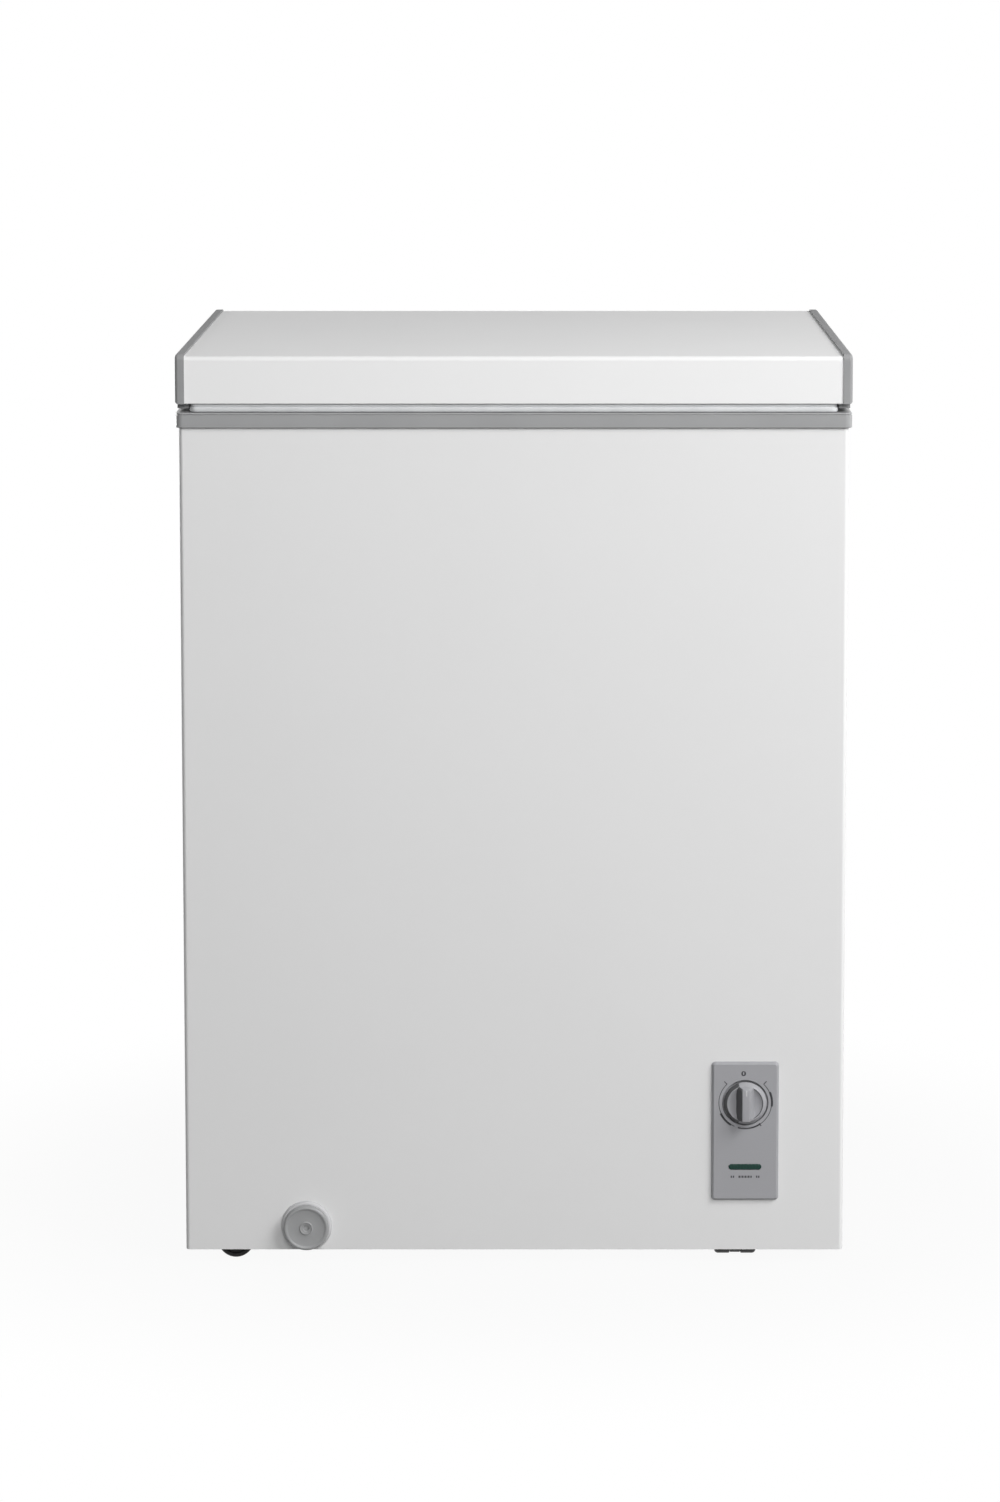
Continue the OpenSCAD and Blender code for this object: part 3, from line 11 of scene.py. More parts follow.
import bpy
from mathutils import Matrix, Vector


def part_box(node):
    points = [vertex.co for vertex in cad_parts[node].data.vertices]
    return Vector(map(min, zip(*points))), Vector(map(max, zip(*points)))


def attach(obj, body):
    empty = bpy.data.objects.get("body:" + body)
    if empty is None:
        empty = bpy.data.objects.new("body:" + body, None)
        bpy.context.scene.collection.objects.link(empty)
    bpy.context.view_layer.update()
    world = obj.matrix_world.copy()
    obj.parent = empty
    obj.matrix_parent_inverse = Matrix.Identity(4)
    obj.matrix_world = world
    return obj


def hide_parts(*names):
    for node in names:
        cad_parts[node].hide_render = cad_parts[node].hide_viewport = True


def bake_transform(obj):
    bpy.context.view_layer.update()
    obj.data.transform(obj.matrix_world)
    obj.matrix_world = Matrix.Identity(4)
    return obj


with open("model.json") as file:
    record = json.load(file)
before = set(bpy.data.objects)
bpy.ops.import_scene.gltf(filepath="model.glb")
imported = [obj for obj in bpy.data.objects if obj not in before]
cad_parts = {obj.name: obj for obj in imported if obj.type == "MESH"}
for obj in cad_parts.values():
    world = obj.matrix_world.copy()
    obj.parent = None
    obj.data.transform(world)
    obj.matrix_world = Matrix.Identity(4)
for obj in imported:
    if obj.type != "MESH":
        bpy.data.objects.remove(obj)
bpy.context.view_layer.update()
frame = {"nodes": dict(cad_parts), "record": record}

NODES = frame["nodes"]
MM = 0.001
TINY = 2e-5  # points nearer than this are at the same place
DOUBLE = 1e-6  # vertices nearer than this are one


# ---------------------------------------------------------------------------
# Modelling
# ---------------------------------------------------------------------------

def clear():
    """Leaves edit mode and deselects everything."""
    if bpy.context.object and bpy.context.object.mode != "OBJECT":
        bpy.ops.object.mode_set(mode="OBJECT")
    bpy.ops.object.select_all(action="DESELECT")


def take(piece):
    """Makes a piece the only one selected, and the active one."""
    clear()
    piece.select_set(True)
    bpy.context.view_layer.objects.active = piece
    return piece


def settle(piece):
    """Puts a piece's place into its mesh."""
    take(piece)
    bpy.ops.object.transform_apply(location=True, rotation=True, scale=True)
    return piece


def named(name):
    """Names the active piece and its mesh."""
    piece = bpy.context.object
    piece.name = piece.data.name = name
    return piece


def block(name, low, high):
    """A cuboid between two corners."""
    clear()
    low, high = Vector(low), Vector(high)
    bpy.ops.mesh.primitive_cube_add(size=1, location=(low + high) / 2, scale=high - low)
    return settle(named(name))


def choose(piece, kind, test):
    """Opens a piece for editing with only the faces or edges selected that pass a test.

    A face is tested by its middle and normal, an edge by its two ends.
    """
    take(piece)
    bpy.ops.object.mode_set(mode="EDIT")
    bpy.ops.mesh.select_mode(type=kind)
    bpy.ops.mesh.select_all(action="DESELECT")
    bpy.ops.object.mode_set(mode="OBJECT")
    mesh = piece.data
    if kind == "FACE":
        for face in mesh.polygons:
            face.select = bool(test(face.center, face.normal))
    else:
        for edge in mesh.edges:
            a, b = (mesh.vertices[i].co for i in edge.vertices)
            edge.select = bool(test(a, b))
    bpy.ops.object.mode_set(mode="EDIT")


def edit_all(piece):
    """Opens a piece for editing with everything selected."""
    take(piece)
    bpy.ops.object.mode_set(mode="EDIT")
    bpy.ops.mesh.select_all(action="SELECT")


def close_edit():
    """Leaves edit mode."""
    bpy.ops.object.mode_set(mode="OBJECT")


def delete_faces(piece, test):
    """Takes away the faces that pass a test."""
    choose(piece, "FACE", test)
    bpy.ops.mesh.delete(type="FACE")
    close_edit()


def round_edges(piece, radius, segments, test):
    """Rounds the edges that pass a test."""
    choose(piece, "EDGE", test)
    bpy.ops.mesh.bevel(offset=radius, segments=segments, affect="EDGES", clamp_overlap=True)
    close_edit()


def modify(piece, kind, **settings):
    """Adds a modifier and applies it."""
    take(piece)
    modifier = piece.modifiers.new(kind.lower(), kind)
    for key, value in settings.items():
        setattr(modifier, key, value)
    bpy.ops.object.modifier_apply(modifier=modifier.name)
    return piece


def smooth(piece, angle=35):
    """Shades a piece smooth, with a crease where its faces meet at more than this angle."""
    take(piece)
    bpy.ops.object.shade_smooth_by_angle(angle=math.radians(angle))
    return piece


def even(piece):
    """Lets the large faces set the shading, so that they stay flat beside small rounds."""
    return modify(piece, "WEIGHTED_NORMAL", mode="FACE_AREA", weight=50, keep_sharp=True)


def soften(piece, width, angle=40):
    """Breaks the edges that are sharper than this angle by a small round."""
    modify(piece, "BEVEL", width=width, segments=2, limit_method="ANGLE",
           angle_limit=math.radians(angle))
    return smooth(piece)


def merge(piece):
    """Merges doubles."""
    edit_all(piece)
    bpy.ops.mesh.remove_doubles(threshold=DOUBLE)
    close_edit()


def outward(piece):
    """Merges doubles and turns every face outwards."""
    merge(piece)
    edit_all(piece)
    bpy.ops.mesh.normals_make_consistent(inside=False)
    close_edit()
    return piece


def cut(piece, cutter, operation="DIFFERENCE"):
    """Cuts one piece with another, or joins them, and throws the second away."""
    modify(piece, "BOOLEAN", operation=operation, solver="EXACT", object=cutter)
    bpy.data.objects.remove(cutter)
    return piece


def join(name, parts):
    """Makes several pieces one object."""
    take(parts[0])
    for part in parts[1:]:
        part.select_set(True)
    bpy.ops.object.join()
    return named(name)


TURN = {
    "Z": (0, 0, 0),
    "-Y": (math.pi / 2, 0, 0),
    "Y": (-math.pi / 2, 0, 0),
    "X": (0, math.pi / 2, 0),
}


def place(piece, at, facing="Z"):
    """Stands a piece that was made along +Z at a point, facing along an axis."""
    piece.rotation_euler = TURN[facing]
    piece.location = at
    return settle(piece)


def turned(name, outline, sides=96, at=(0, 0, 0), facing="Z"):
    """A closed round piece from a list of (radius, height) in millimetres, made along +Z."""
    clear()
    radius, height = outline[0]
    bpy.ops.mesh.primitive_circle_add(vertices=sides, radius=radius * MM, fill_type="NGON",
                                      location=(0, 0, height * MM))
    piece = settle(named(name))
    bpy.ops.object.mode_set(mode="EDIT")
    bpy.ops.mesh.select_mode(type="FACE")
    bpy.ops.mesh.select_all(action="SELECT")
    for new_radius, new_height in outline[1:]:
        bpy.ops.mesh.extrude_region_move(
            TRANSFORM_OT_translate={"value": (0, 0, (new_height - height) * MM)})
        grow = new_radius / radius
        bpy.ops.transform.resize(value=(grow, grow, 1), center_override=(0, 0, new_height * MM))
        radius, height = new_radius, new_height
    close_edit()
    return place(outward(piece), at, facing)


def reshape(piece, old, new):
    """Moves the selected points of one rounded rectangle to their places on another one."""
    width, depth, radius, _ = (v * MM for v in old)
    new_width, new_depth, new_radius, new_height = (v * MM for v in new)
    grow = new_radius / radius

    def moved(value, size, new_size):
        """Keeps a point where it is on the round of its corner."""
        corner = math.copysign(size / 2 - radius, value)
        return math.copysign(new_size / 2 - new_radius, value) + (value - corner) * grow

    for vertex in piece.data.vertices:
        if vertex.select:
            vertex.co = (moved(vertex.co.x, width, new_width),
                         moved(vertex.co.y, depth, new_depth), new_height)


def stacked(name, rings, hollow, at=(0, 0, 0), facing="Z", segments=8):
    """A piece drawn over rounded rectangles (width, depth, radius, height) in millimetres.

    A hollow one closes from its last ring to its first, and the others keep a face at each end.
    """
    clear()
    width, depth, radius, height = rings[0]
    bpy.ops.mesh.primitive_plane_add(size=1, location=(0, 0, height * MM))
    piece = named(name)
    piece.scale = (width * MM, depth * MM, 1)
    settle(piece)
    bpy.ops.object.mode_set(mode="EDIT")
    bpy.ops.mesh.select_all(action="SELECT")
    bpy.ops.mesh.bevel(offset=radius * MM, segments=segments, affect="VERTICES")
    bpy.ops.mesh.select_all(action="SELECT")
    if hollow:
        bpy.ops.mesh.delete(type="ONLY_FACE")
        bpy.ops.mesh.select_mode(type="EDGE")
        bpy.ops.mesh.select_all(action="SELECT")
    else:
        bpy.ops.mesh.select_mode(type="FACE")
    following = rings[1:] + (rings[:1] if hollow else [])
    for old, new in zip(rings, following):
        if hollow:
            bpy.ops.mesh.extrude_edges_move(TRANSFORM_OT_translate={"value": (0, 0, 0)})
        else:
            bpy.ops.mesh.extrude_region_move(TRANSFORM_OT_translate={"value": (0, 0, 0)})
        bpy.ops.object.mode_set(mode="OBJECT")
        reshape(piece, old, new)
        bpy.ops.object.mode_set(mode="EDIT")
    close_edit()
    return place(outward(piece), at, facing)


def twin(piece, name):
    """A copy with its own mesh."""
    take(piece)
    bpy.ops.object.duplicate()
    return named(name)


def dressed(node, name, width):
    """A copy of a CAD node with its edges broken by a round of this many millimetres."""
    copy = NODES[node].copy()
    copy.data = copy.data.copy()
    for key in list(copy.keys()):
        del copy[key]
    bpy.context.scene.collection.objects.link(copy)
    copy.parent = None
    copy.name = copy.data.name = name
    merge(copy)
    edit_all(copy)
    bpy.ops.mesh.dissolve_limited(angle_limit=math.radians(1.0))
    close_edit()
    return soften(copy, width * MM, 32)


def finish(piece, material, body, slot, *nodes):
    """Gives a piece its material and its body, and hides the nodes that it stands for. The slot is
    not used.

    A piece given no body is left without a parent.
    """
    piece.data.materials.clear()
    piece.data.materials.append(material)
    if body:
        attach(piece, body)
    if nodes:
        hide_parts(*nodes)
    return piece


# ---------------------------------------------------------------------------
# Finishes
# ---------------------------------------------------------------------------

class Value:
    """A number that varies over a finish. It can be multiplied, and added to a plain number."""

    def __init__(self, skin, socket):
        self.skin = skin
        self.socket = socket

    def _math(self, operation, first, second):
        node = self.skin.node("ShaderNodeMath", {"operation": operation}, {0: first, 1: second})
        return Value(self.skin, node.outputs[0])

    def __radd__(self, other):
        return self._math("ADD", other, self)

    def __mul__(self, other):
        return self._math("MULTIPLY", self, other)

    def between(self, low, high):
        """0 below low, 1 above high, with a soft step from one to the other."""
        node = self.skin.node("ShaderNodeMapRange", {"interpolation_type": "SMOOTHSTEP"},
                              {"Value": self, "From Min": low, "From Max": high})
        return Value(self.skin, node.outputs["Result"])


class Finish:
    """A surface finish: one Principled shader and what varies over it."""

    def __init__(self, name, colour, roughness, metallic=0.0, **fixed):
        self.material = bpy.data.materials.new(name)
        self.material.use_nodes = True
        self.nodes = self.material.node_tree.nodes
        self.links = self.material.node_tree.links
        self.shader = self.nodes["Principled BSDF"]
        self.colour = (*colour, 1.0)
        self.shader.inputs["Base Color"].default_value = self.colour
        self.shader.inputs["Roughness"].default_value = roughness
        self.shader.inputs["Metallic"].default_value = metallic
        for key, value in fixed.items():
            self.shader.inputs[key.replace("_", " ")].default_value = value
        self.place = self.node("ShaderNodeTexCoord").outputs["Object"]

    def node(self, kind, settings=None, values=None):
        """Adds a node. Settings come first, then the values or links of its sockets."""
        made = self.nodes.new(kind)
        for key, value in (settings or {}).items():
            setattr(made, key, value)
        for key, value in (values or {}).items():
            self.feed(made.inputs[key], value)
        return made

    def feed(self, socket, value):
        """Sets a socket to a number, or links it."""
        if isinstance(value, Value):
            value = value.socket
        if isinstance(value, bpy.types.NodeSocket):
            self.links.new(value, socket)
        else:
            socket.default_value = value

    def grain(self, size, detail, stretch=(1, 1, 1)):
        """Cloudy noise of about this size in millimetres."""
        where = self.node("ShaderNodeMapping", {}, {"Vector": self.place, "Scale": stretch})
        noise = self.node("ShaderNodeTexNoise", {},
                          {"Vector": where.outputs[0], "Scale": 1 / (size * MM), "Detail": detail})
        return Value(self, noise.outputs["Fac"])

    def cells(self, size, feature="F1", output="Distance"):
        """Cells of about this size in millimetres."""
        cell = self.node("ShaderNodeTexVoronoi", {"feature": feature},
                         {"Vector": self.place, "Scale": 1 / (size * MM)})
        return Value(self, cell.outputs[output])

    def tint(self, amount, colour):
        """Blends the base colour towards another one."""
        source = self.shader.inputs["Base Color"]
        old = source.links[0].from_socket if source.is_linked else self.colour
        # Sockets 6 and 7 of the Mix node are its colours, and its third output is the result
        mixed = self.node("ShaderNodeMix", {"data_type": "RGBA"},
                          {"Factor": amount, 6: old, 7: (*colour, 1.0)})
        self.links.new(mixed.outputs[2], source)

    def rough(self, value):
        """Sets the roughness."""
        self.feed(self.shader.inputs["Roughness"], value)

    def relief(self, height, depth, strength=1.0):
        """Adds bump from a height of 0 to 1 and its depth in millimetres."""
        target = self.shader.inputs["Normal"]
        values = {"Height": height, "Distance": depth * MM, "Strength": strength}
        if target.is_linked:
            values["Normal"] = target.links[0].from_socket
        bump = self.node("ShaderNodeBump", {}, values)
        self.links.new(bump.outputs["Normal"], target)
        return self


def grey(level):
    """An even grey."""
    return level, level, level


def enamel(name, level):
    """White powder coat with a faint orange-peel surface."""
    skin = Finish(name, grey(level), 0.48, Specular_IOR_Level=0.05)
    skin.tint(skin.grain(180, 3).between(0.35, 0.75) * 0.25, grey(level * 0.97))
    skin.rough(0.43 + skin.grain(60, 4) * 0.1)
    return skin.relief(skin.grain(2.2, 1), 0.012).material


def galvanised():
    """Galvanised sheet with its spangle."""
    sheet = Finish("galvanised_sheet", (0.60, 0.61, 0.62), 0.42, 0.85)
    colours = sheet.node("ShaderNodeSeparateColor", {}, {0: sheet.cells(9, output="Color")})
    spangle = Value(sheet, colours.outputs[0])
    sheet.tint(spangle * 0.5, (0.45, 0.46, 0.48))
    sheet.rough(0.34 + spangle * 0.2)
    return sheet.relief(sheet.grain(1.5, 2), 0.01).material


def zinc():
    """Cloudy zinc plating."""
    plate = Finish("zinc_plate", (0.62, 0.62, 0.60), 0.33, 0.95)
    cloud = plate.grain(7, 4)
    plate.tint(cloud.between(0.4, 0.8) * 0.5, (0.48, 0.48, 0.45))
    plate.rough(0.26 + cloud * 0.22)
    return plate.relief(plate.grain(0.8, 2, (1, 1, 0.2)), 0.008).material


def stucco():
    """Embossed aluminium of the tank, with a small pebbled pattern."""
    sheet = Finish("stucco_aluminium", (0.80, 0.81, 0.82), 0.33, 0.9)
    pebble = sheet.cells(5.5, "SMOOTH_F1")
    sheet.rough(0.28 + sheet.grain(30, 3) * 0.12)
    return sheet.relief(pebble.between(0.1, 0.6), 0.25, 0.8).material


def foam():
    """Cut rigid foam with its pores."""
    body = Finish("rigid_foam", (0.74, 0.62, 0.36), 0.85)
    body.tint(body.grain(12, 4).between(0.3, 0.8), (0.60, 0.46, 0.22))
    return body.relief(body.cells(1.6), 0.3).material


def moulded(name, colour, roughness, grain=0.012, sheen=0.2):
    """Injection-moulded plastic with a fine spark-eroded texture."""
    part = Finish(name, colour, roughness, Specular_IOR_Level=sheen)
    part.tint(part.grain(45, 3).between(0.35, 0.75) * 0.5, tuple(c * 0.9 for c in colour))
    spread = 0.1
    part.rough((roughness - spread / 2) + part.grain(8, 3) * spread)
    return part.relief(part.grain(0.5, 2), grain).material


def silver_lacquer(name, level):
    """Silver lacquer with metal flakes."""
    part = Finish(name, (level, level, level * 1.05), 0.3, Specular_IOR_Level=0.3)
    part.rough(0.26 + part.grain(5, 3) * 0.1)
    fleck = part.grain(0.15, 1)
    part.tint(fleck.between(0.55, 0.7) * 0.35, (level * 1.27, level * 1.27, level * 1.32))
    return part.relief(part.grain(0.4, 1), 0.004).material


def soft_seal():
    """Soft vinyl of the lid seal."""
    seal = Finish("soft_seal", (0.66, 0.67, 0.68), 0.6, Specular_IOR_Level=0.2)
    seal.tint(seal.grain(25, 3).between(0.4, 0.8) * 0.4, (0.50, 0.51, 0.52))
    return seal.relief(seal.grain(0.9, 2), 0.02).material


def rubber():
    """Black rubber."""
    part = Finish("black_rubber", (0.022, 0.022, 0.023), 0.7)
    part.rough(0.62 + part.grain(4, 3) * 0.2)
    return part.relief(part.grain(0.6, 2), 0.03).material


def copper():
    """Drawn copper with darker stains."""
    tube = Finish("drawn_copper", (0.72, 0.36, 0.22), 0.28, 1.0)
    stain = tube.grain(14, 4).between(0.45, 0.75)
    tube.tint(stain * 0.7, (0.38, 0.17, 0.10))
    tube.rough(0.22 + stain * 0.25)
    return tube.relief(tube.grain(0.7, 2), 0.01).material


def drawn_aluminium():
    """Dull drawn tube."""
    tube = Finish("drawn_aluminium", (0.72, 0.73, 0.74), 0.3, 1.0)
    tube.rough(0.24 + tube.grain(10, 3) * 0.2)
    return tube.relief(tube.grain(0.7, 2), 0.01).material


def lacquered_steel():
    """Black lacquer of the compressor's shell."""
    shell = Finish("black_lacquer", (0.018, 0.018, 0.02), 0.3, Coat_Weight=0.3, Coat_Roughness=0.2)
    shell.rough(0.26 + shell.grain(20, 4) * 0.16)
    shell.tint(shell.grain(3, 3).between(0.62, 0.72) * 0.3, (0.06, 0.06, 0.06))
    return shell.relief(shell.grain(1.6, 2), 0.03).material


def dipped_wire():
    """White plastic coat of the basket's wires."""
    coat = Finish("dipped_wire", (0.82, 0.83, 0.84), 0.32, Coat_Weight=0.3, Coat_Roughness=0.15)
    coat.rough(0.28 + coat.grain(6, 3) * 0.12)
    coat.tint(coat.grain(40, 2).between(0.5, 0.8) * 0.3, (0.74, 0.75, 0.76))
    return coat.relief(coat.grain(2.5, 1), 0.04).material


def green_glass():
    """Dark green lens with fine ribs."""
    lens = Finish("green_lens", (0.004, 0.042, 0.03), 0.2, Specular_IOR_Level=0.25)
    lens.rough(0.12 + lens.grain(4, 2) * 0.06)
    wave = lens.node("ShaderNodeTexWave", {"bands_direction": "X"},
                     {"Vector": lens.place, "Scale": 110.0})
    ribs = Value(lens, wave.outputs["Fac"])
    lens.tint(ribs * 0.4, (0.002, 0.02, 0.016))
    return lens.relief(ribs, 0.05).material


def print_ink():
    """Dark ink of the printed marks."""
    ink = Finish("print_ink", (0.05, 0.05, 0.055), 0.5)
    ink.rough(0.45 + ink.grain(0.6, 2) * 0.15)
    return ink.relief(ink.grain(0.3, 1), 0.004).material


LOOKS = {
    "white_steel": enamel("white_enamel", 0.8),
    "galvanised": galvanised(),
    "foam": foam(),
    "embossed_aluminium": stucco(),
    "grey_plastic": moulded("grey_plastic", (0.335, 0.338, 0.342), 0.3, sheen=0.4),
    "white_plastic": moulded("white_plastic", (0.57, 0.57, 0.58), 0.4),
    "black_plastic": moulded("black_plastic", (0.03, 0.03, 0.031), 0.48, 0.02),
    "soft_grey": soft_seal(),
    "black_rubber": rubber(),
    "copper": copper(),
    "tube_aluminium": drawn_aluminium(),
    "black_steel": lacquered_steel(),
    "zinc": zinc(),
    "silver_plastic": silver_lacquer("silver_lacquer", 0.355),
    "green_lens": green_glass(),
    "wire_coat": dipped_wire(),
}
# A lighter copy of the white enamel for the lid: painted light for the brighter lid front
LID_ENAMEL_PAINTED_LIGHT = enamel("lid_enamel_painted_light", 0.855)
CAP_PLASTIC = moulded("cap_plastic", (0.33, 0.332, 0.336), 0.6, sheen=0.03)
# A dark copy of the silver lacquer: painted shade for the knob's flanks that face away from the
# light
PAINTED_SHADE_SILVER = silver_lacquer("painted_shade_silver", 0.075)
INK = print_ink()

for part in frame["record"]["subparts"]:
    node = NODES[part["node"]]
    node.data.materials.clear()
    node.data.materials.append(LOOKS[part["material_slot"]])


# ---------------------------------------------------------------------------
# Cabinet
# ---------------------------------------------------------------------------

case_low, case_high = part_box("outer_case")
front = case_low.y
bezel_low, bezel_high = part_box("control_bezel")
dial_low, dial_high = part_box("drain_dial")
dial_mid = (dial_low + dial_high) / 2

SHEET = 0.8 * MM
CASE_CORNER = 4 * MM
HEM = case_low.z - 4 * MM  # the foot of the case hangs a little lower than the solid
HEM_DEPTH = 3.2 * MM
HEM_RISE = 6 * MM
HEM_ROUND = 1.5 * MM
FLANGE = 12 * MM
BEZEL_LAP = 4 * MM
DRAIN_HOLE = 11.3  # radius in millimetres


def make_case():
    """The wrapped sheet: front and two sides in one, folded in at the back, top and bottom."""
    case = block("case_shell", (case_low.x, case_low.y, HEM), case_high)
    delete_faces(case, lambda mid, normal: abs(normal.z) > 0.9 or normal.y > 0.9)
    round_edges(case, CASE_CORNER, 8,
                lambda a, b: abs(a.z - b.z) > 0.1 and max(a.y, b.y) < front + TINY)
    width, depth = case_high.x - case_low.x, case_high.y - case_low.y

    def fold(level, inward, rise):
        """Folds the edge at one level inwards, then along Z."""
        choose(case, "EDGE", lambda a, b: max(abs(a.z - level), abs(b.z - level)) < TINY)
        bpy.ops.mesh.extrude_edges_move(TRANSFORM_OT_translate={"value": (0, 0, 0)})
        bpy.ops.transform.resize(value=(1 - 2 * inward / width, 1 - inward / depth, 1),
                                 center_override=(0, case_high.y, level))
        if rise:
            bpy.ops.mesh.extrude_edges_move(TRANSFORM_OT_translate={"value": (0, 0, rise)})
        close_edit()

    fold(HEM, HEM_DEPTH, HEM_RISE)
    round_edges(case, HEM_ROUND, 5, lambda a, b: max(abs(a.z - HEM), abs(b.z - HEM)) < TINY)
    fold(case_high.z, FLANGE, 0)
    # Flanges that the back panel lies on
    for side in (-1, 1):
        choose(case, "EDGE", lambda a, b: (abs(a.z - b.z) > 0.1
                                           and min(a.y, b.y) > case_high.y - TINY
                                           and a.x * side > width / 2 - TINY))
        bpy.ops.mesh.extrude_edges_move(TRANSFORM_OT_translate={"value": (-FLANGE * side, 0, 0)})
        close_edit()
    outward(case)
    modify(case, "SOLIDIFY", thickness=SHEET, offset=-1, use_even_offset=True)
    # A window behind the control panel, and a hole for the drain
    past = 10 * MM
    window = block("window", (bezel_low.x + BEZEL_LAP, front - past, bezel_low.z + BEZEL_LAP),
                   (bezel_high.x - BEZEL_LAP, front + past, bezel_high.z - BEZEL_LAP))
    cut(case, window)
    cut(case, turned("hole", [(DRAIN_HOLE, -10), (DRAIN_HOLE, 10)], 48,
                     (dial_mid.x, front, dial_mid.z), "-Y"))
    even(smooth(case, 40))
    return finish(case, LOOKS["white_steel"], "cabinet", "white_steel", "outer_case")


def make_collar():
    """Plastic collar: rounded outer edge with a shadow groove, flat top and a lip into the tank."""
    low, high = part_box("collar")
    width, depth = (high.x - low.x) / MM, (high.y - low.y) / MM
    rim = case_high.z / MM
    top = high.z / MM
    lip = low.z / MM
    liner_low, liner_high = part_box("liner")
    wall = 1.6  # both walls of the tank
    tank_w = (liner_high.x - liner_low.x) / MM - wall
    tank_d = (liner_high.y - liner_low.y) / MM - wall
    outer_corner, inner_corner = 7, 30

    def outer(inset, height):
        return width - 2 * inset, depth - 2 * inset, max(outer_corner - inset, 2), height

    def inner(inset, height):
        return tank_w - 2 * inset, tank_d - 2 * inset, inner_corner - inset, height

    rings = [
        # Foot and outer face
        outer(15, rim), outer(0.9, rim), outer(0.25, rim + 0.25), outer(0, rim + 0.9),
        outer(0, top - 2.9), outer(0.15, top - 2.5),
        # Shadow groove and upper edge
        outer(0.9, top - 2.4), outer(0.9, top - 1.5), outer(0.15, top - 1.4),
        outer(0.05, top - 1.0), outer(0.3, top - 0.35), outer(0.9, top - 0.05), outer(1.6, top),
        # Lip into the tank
        inner(0.3, top), inner(1.4, top - 0.35), inner(2, top - 1.4), inner(2, lip + 0.5),
        inner(1.6, lip), inner(0.2, lip), inner(0.2, top - 2.5),
        # Underside
        outer(2.5, top - 2.5), outer(2.5, rim + 1.25), outer(15, rim + 1.25),
    ]
    collar = stacked("collar_trim", rings, True, (0, (low.y + high.y) / 2, 0))
    even(smooth(collar, 50))
    return finish(collar, LOOKS["grey_plastic"], "cabinet", "grey_plastic", "collar")


make_case()
make_collar()


# ---------------------------------------------------------------------------
# Lid
# ---------------------------------------------------------------------------

panel_low, panel_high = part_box("lid_panel")
LID_EDGE = 4.5 * MM
LID_HEM = 1.1 * MM
CAP_WIDTH = 8.5 * MM
CAP_ROUND = 3 * MM
CAP_FRONT_CORNER = 6 * MM
CAP_REAR_CORNER = 12 * MM
CAP_BORDER = 2.5 * MM
CAP_PLATE = 2.5 * MM
CAP_CLEARANCE = 0.1 * MM


def long_edge(a, b, y, z):
    """Whether an edge runs along X at this place."""
    return all(abs(p.y - y) < TINY and abs(p.z - z) < TINY for p in (a, b))


def make_lid_panel():
    """Folded lid sheet with round long edges and flanges turned in below."""
    cap_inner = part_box("lid_cap_right")[0].x
    reach = Vector((cap_inner + 4 * MM, panel_high.y, panel_high.z))  # into the caps
    panel = block("lid_shell", (-reach.x, panel_low.y, panel_low.z), reach)
    delete_faces(panel, lambda mid, normal: abs(normal.x) > 0.9 or normal.z < -0.9)
    for y in (panel_low.y, panel_high.y):
        round_edges(panel, LID_EDGE, 8, lambda a, b: long_edge(a, b, y, panel_high.z))
    for y, inward in ((panel_low.y, FLANGE), (panel_high.y, -FLANGE)):
        choose(panel, "EDGE", lambda a, b: long_edge(a, b, y, panel_low.z))
        bpy.ops.mesh.extrude_edges_move(TRANSFORM_OT_translate={"value": (0, inward, 0)})
        close_edit()
        round_edges(panel, LID_HEM, 5, lambda a, b: long_edge(a, b, y, panel_low.z))
    outward(panel)
    modify(panel, "SOLIDIFY", thickness=SHEET, offset=-1, use_even_offset=True)
    even(smooth(panel, 40))
    # The lid sheet gets the lighter copy of the enamel, which is painted light
    return finish(panel, LID_ENAMEL_PAINTED_LIGHT, "lid", "white_steel", "lid_panel")


def make_lid_cap(side, node, name):
    """End cap: a plate with lips over the ends of the panel, a shallow field and a rib below."""
    low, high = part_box(node)
    outer = high.x if side > 0 else low.x
    inside = outer - side * CAP_WIDTH
    cap = block(name, (min(inside, outer), low.y, low.z), (max(inside, outer), high.y, high.z))
    round_edges(cap, CAP_FRONT_CORNER, 8, lambda a, b: long_edge(a, b, low.y, high.z))
    round_edges(cap, CAP_REAR_CORNER, 10, lambda a, b: long_edge(a, b, high.y, high.z))
    round_edges(cap, CAP_ROUND, 7, lambda a, b: all(abs(p.x - outer) < TINY for p in (a, b)))
    choose(cap, "FACE", lambda mid, normal: normal.x * side > 0.999)
    bpy.ops.mesh.inset(thickness=CAP_BORDER)
    bpy.ops.mesh.inset(thickness=0.8 * MM, depth=-0.7 * MM)
    close_edit()
    # A pocket for the end of the panel, which leaves the lips standing
    bottom = outer - side * CAP_PLATE
    mouth = inside - side * 5 * MM
    front_y, back_y = panel_low.y - CAP_CLEARANCE, panel_high.y + CAP_CLEARANCE
    top_z = panel_high.z + CAP_CLEARANCE
    pocket = block("panel_end", (min(mouth, bottom), front_y, low.z - 5 * MM),
                   (max(mouth, bottom), back_y, top_z))
    for y in (front_y, back_y):
        round_edges(pocket, LID_EDGE, 8, lambda a, b: long_edge(a, b, y, top_z))
    cut(cap, pocket)
    # A rib that closes the slit below
    foot, root = outer - side * 12.2 * MM, outer - side * 1.6 * MM
    rib = block("rib", (min(foot, root), low.y + 9 * MM, low.z - 4.6 * MM),
                (max(foot, root), high.y - 30 * MM, low.z + 2 * MM))
    soften(rib, 0.6 * MM)
    cut(cap, rib, "UNION")
    even(soften(cap, 0.3 * MM))
    return finish(cap, CAP_PLASTIC, "lid", "grey_plastic", node)


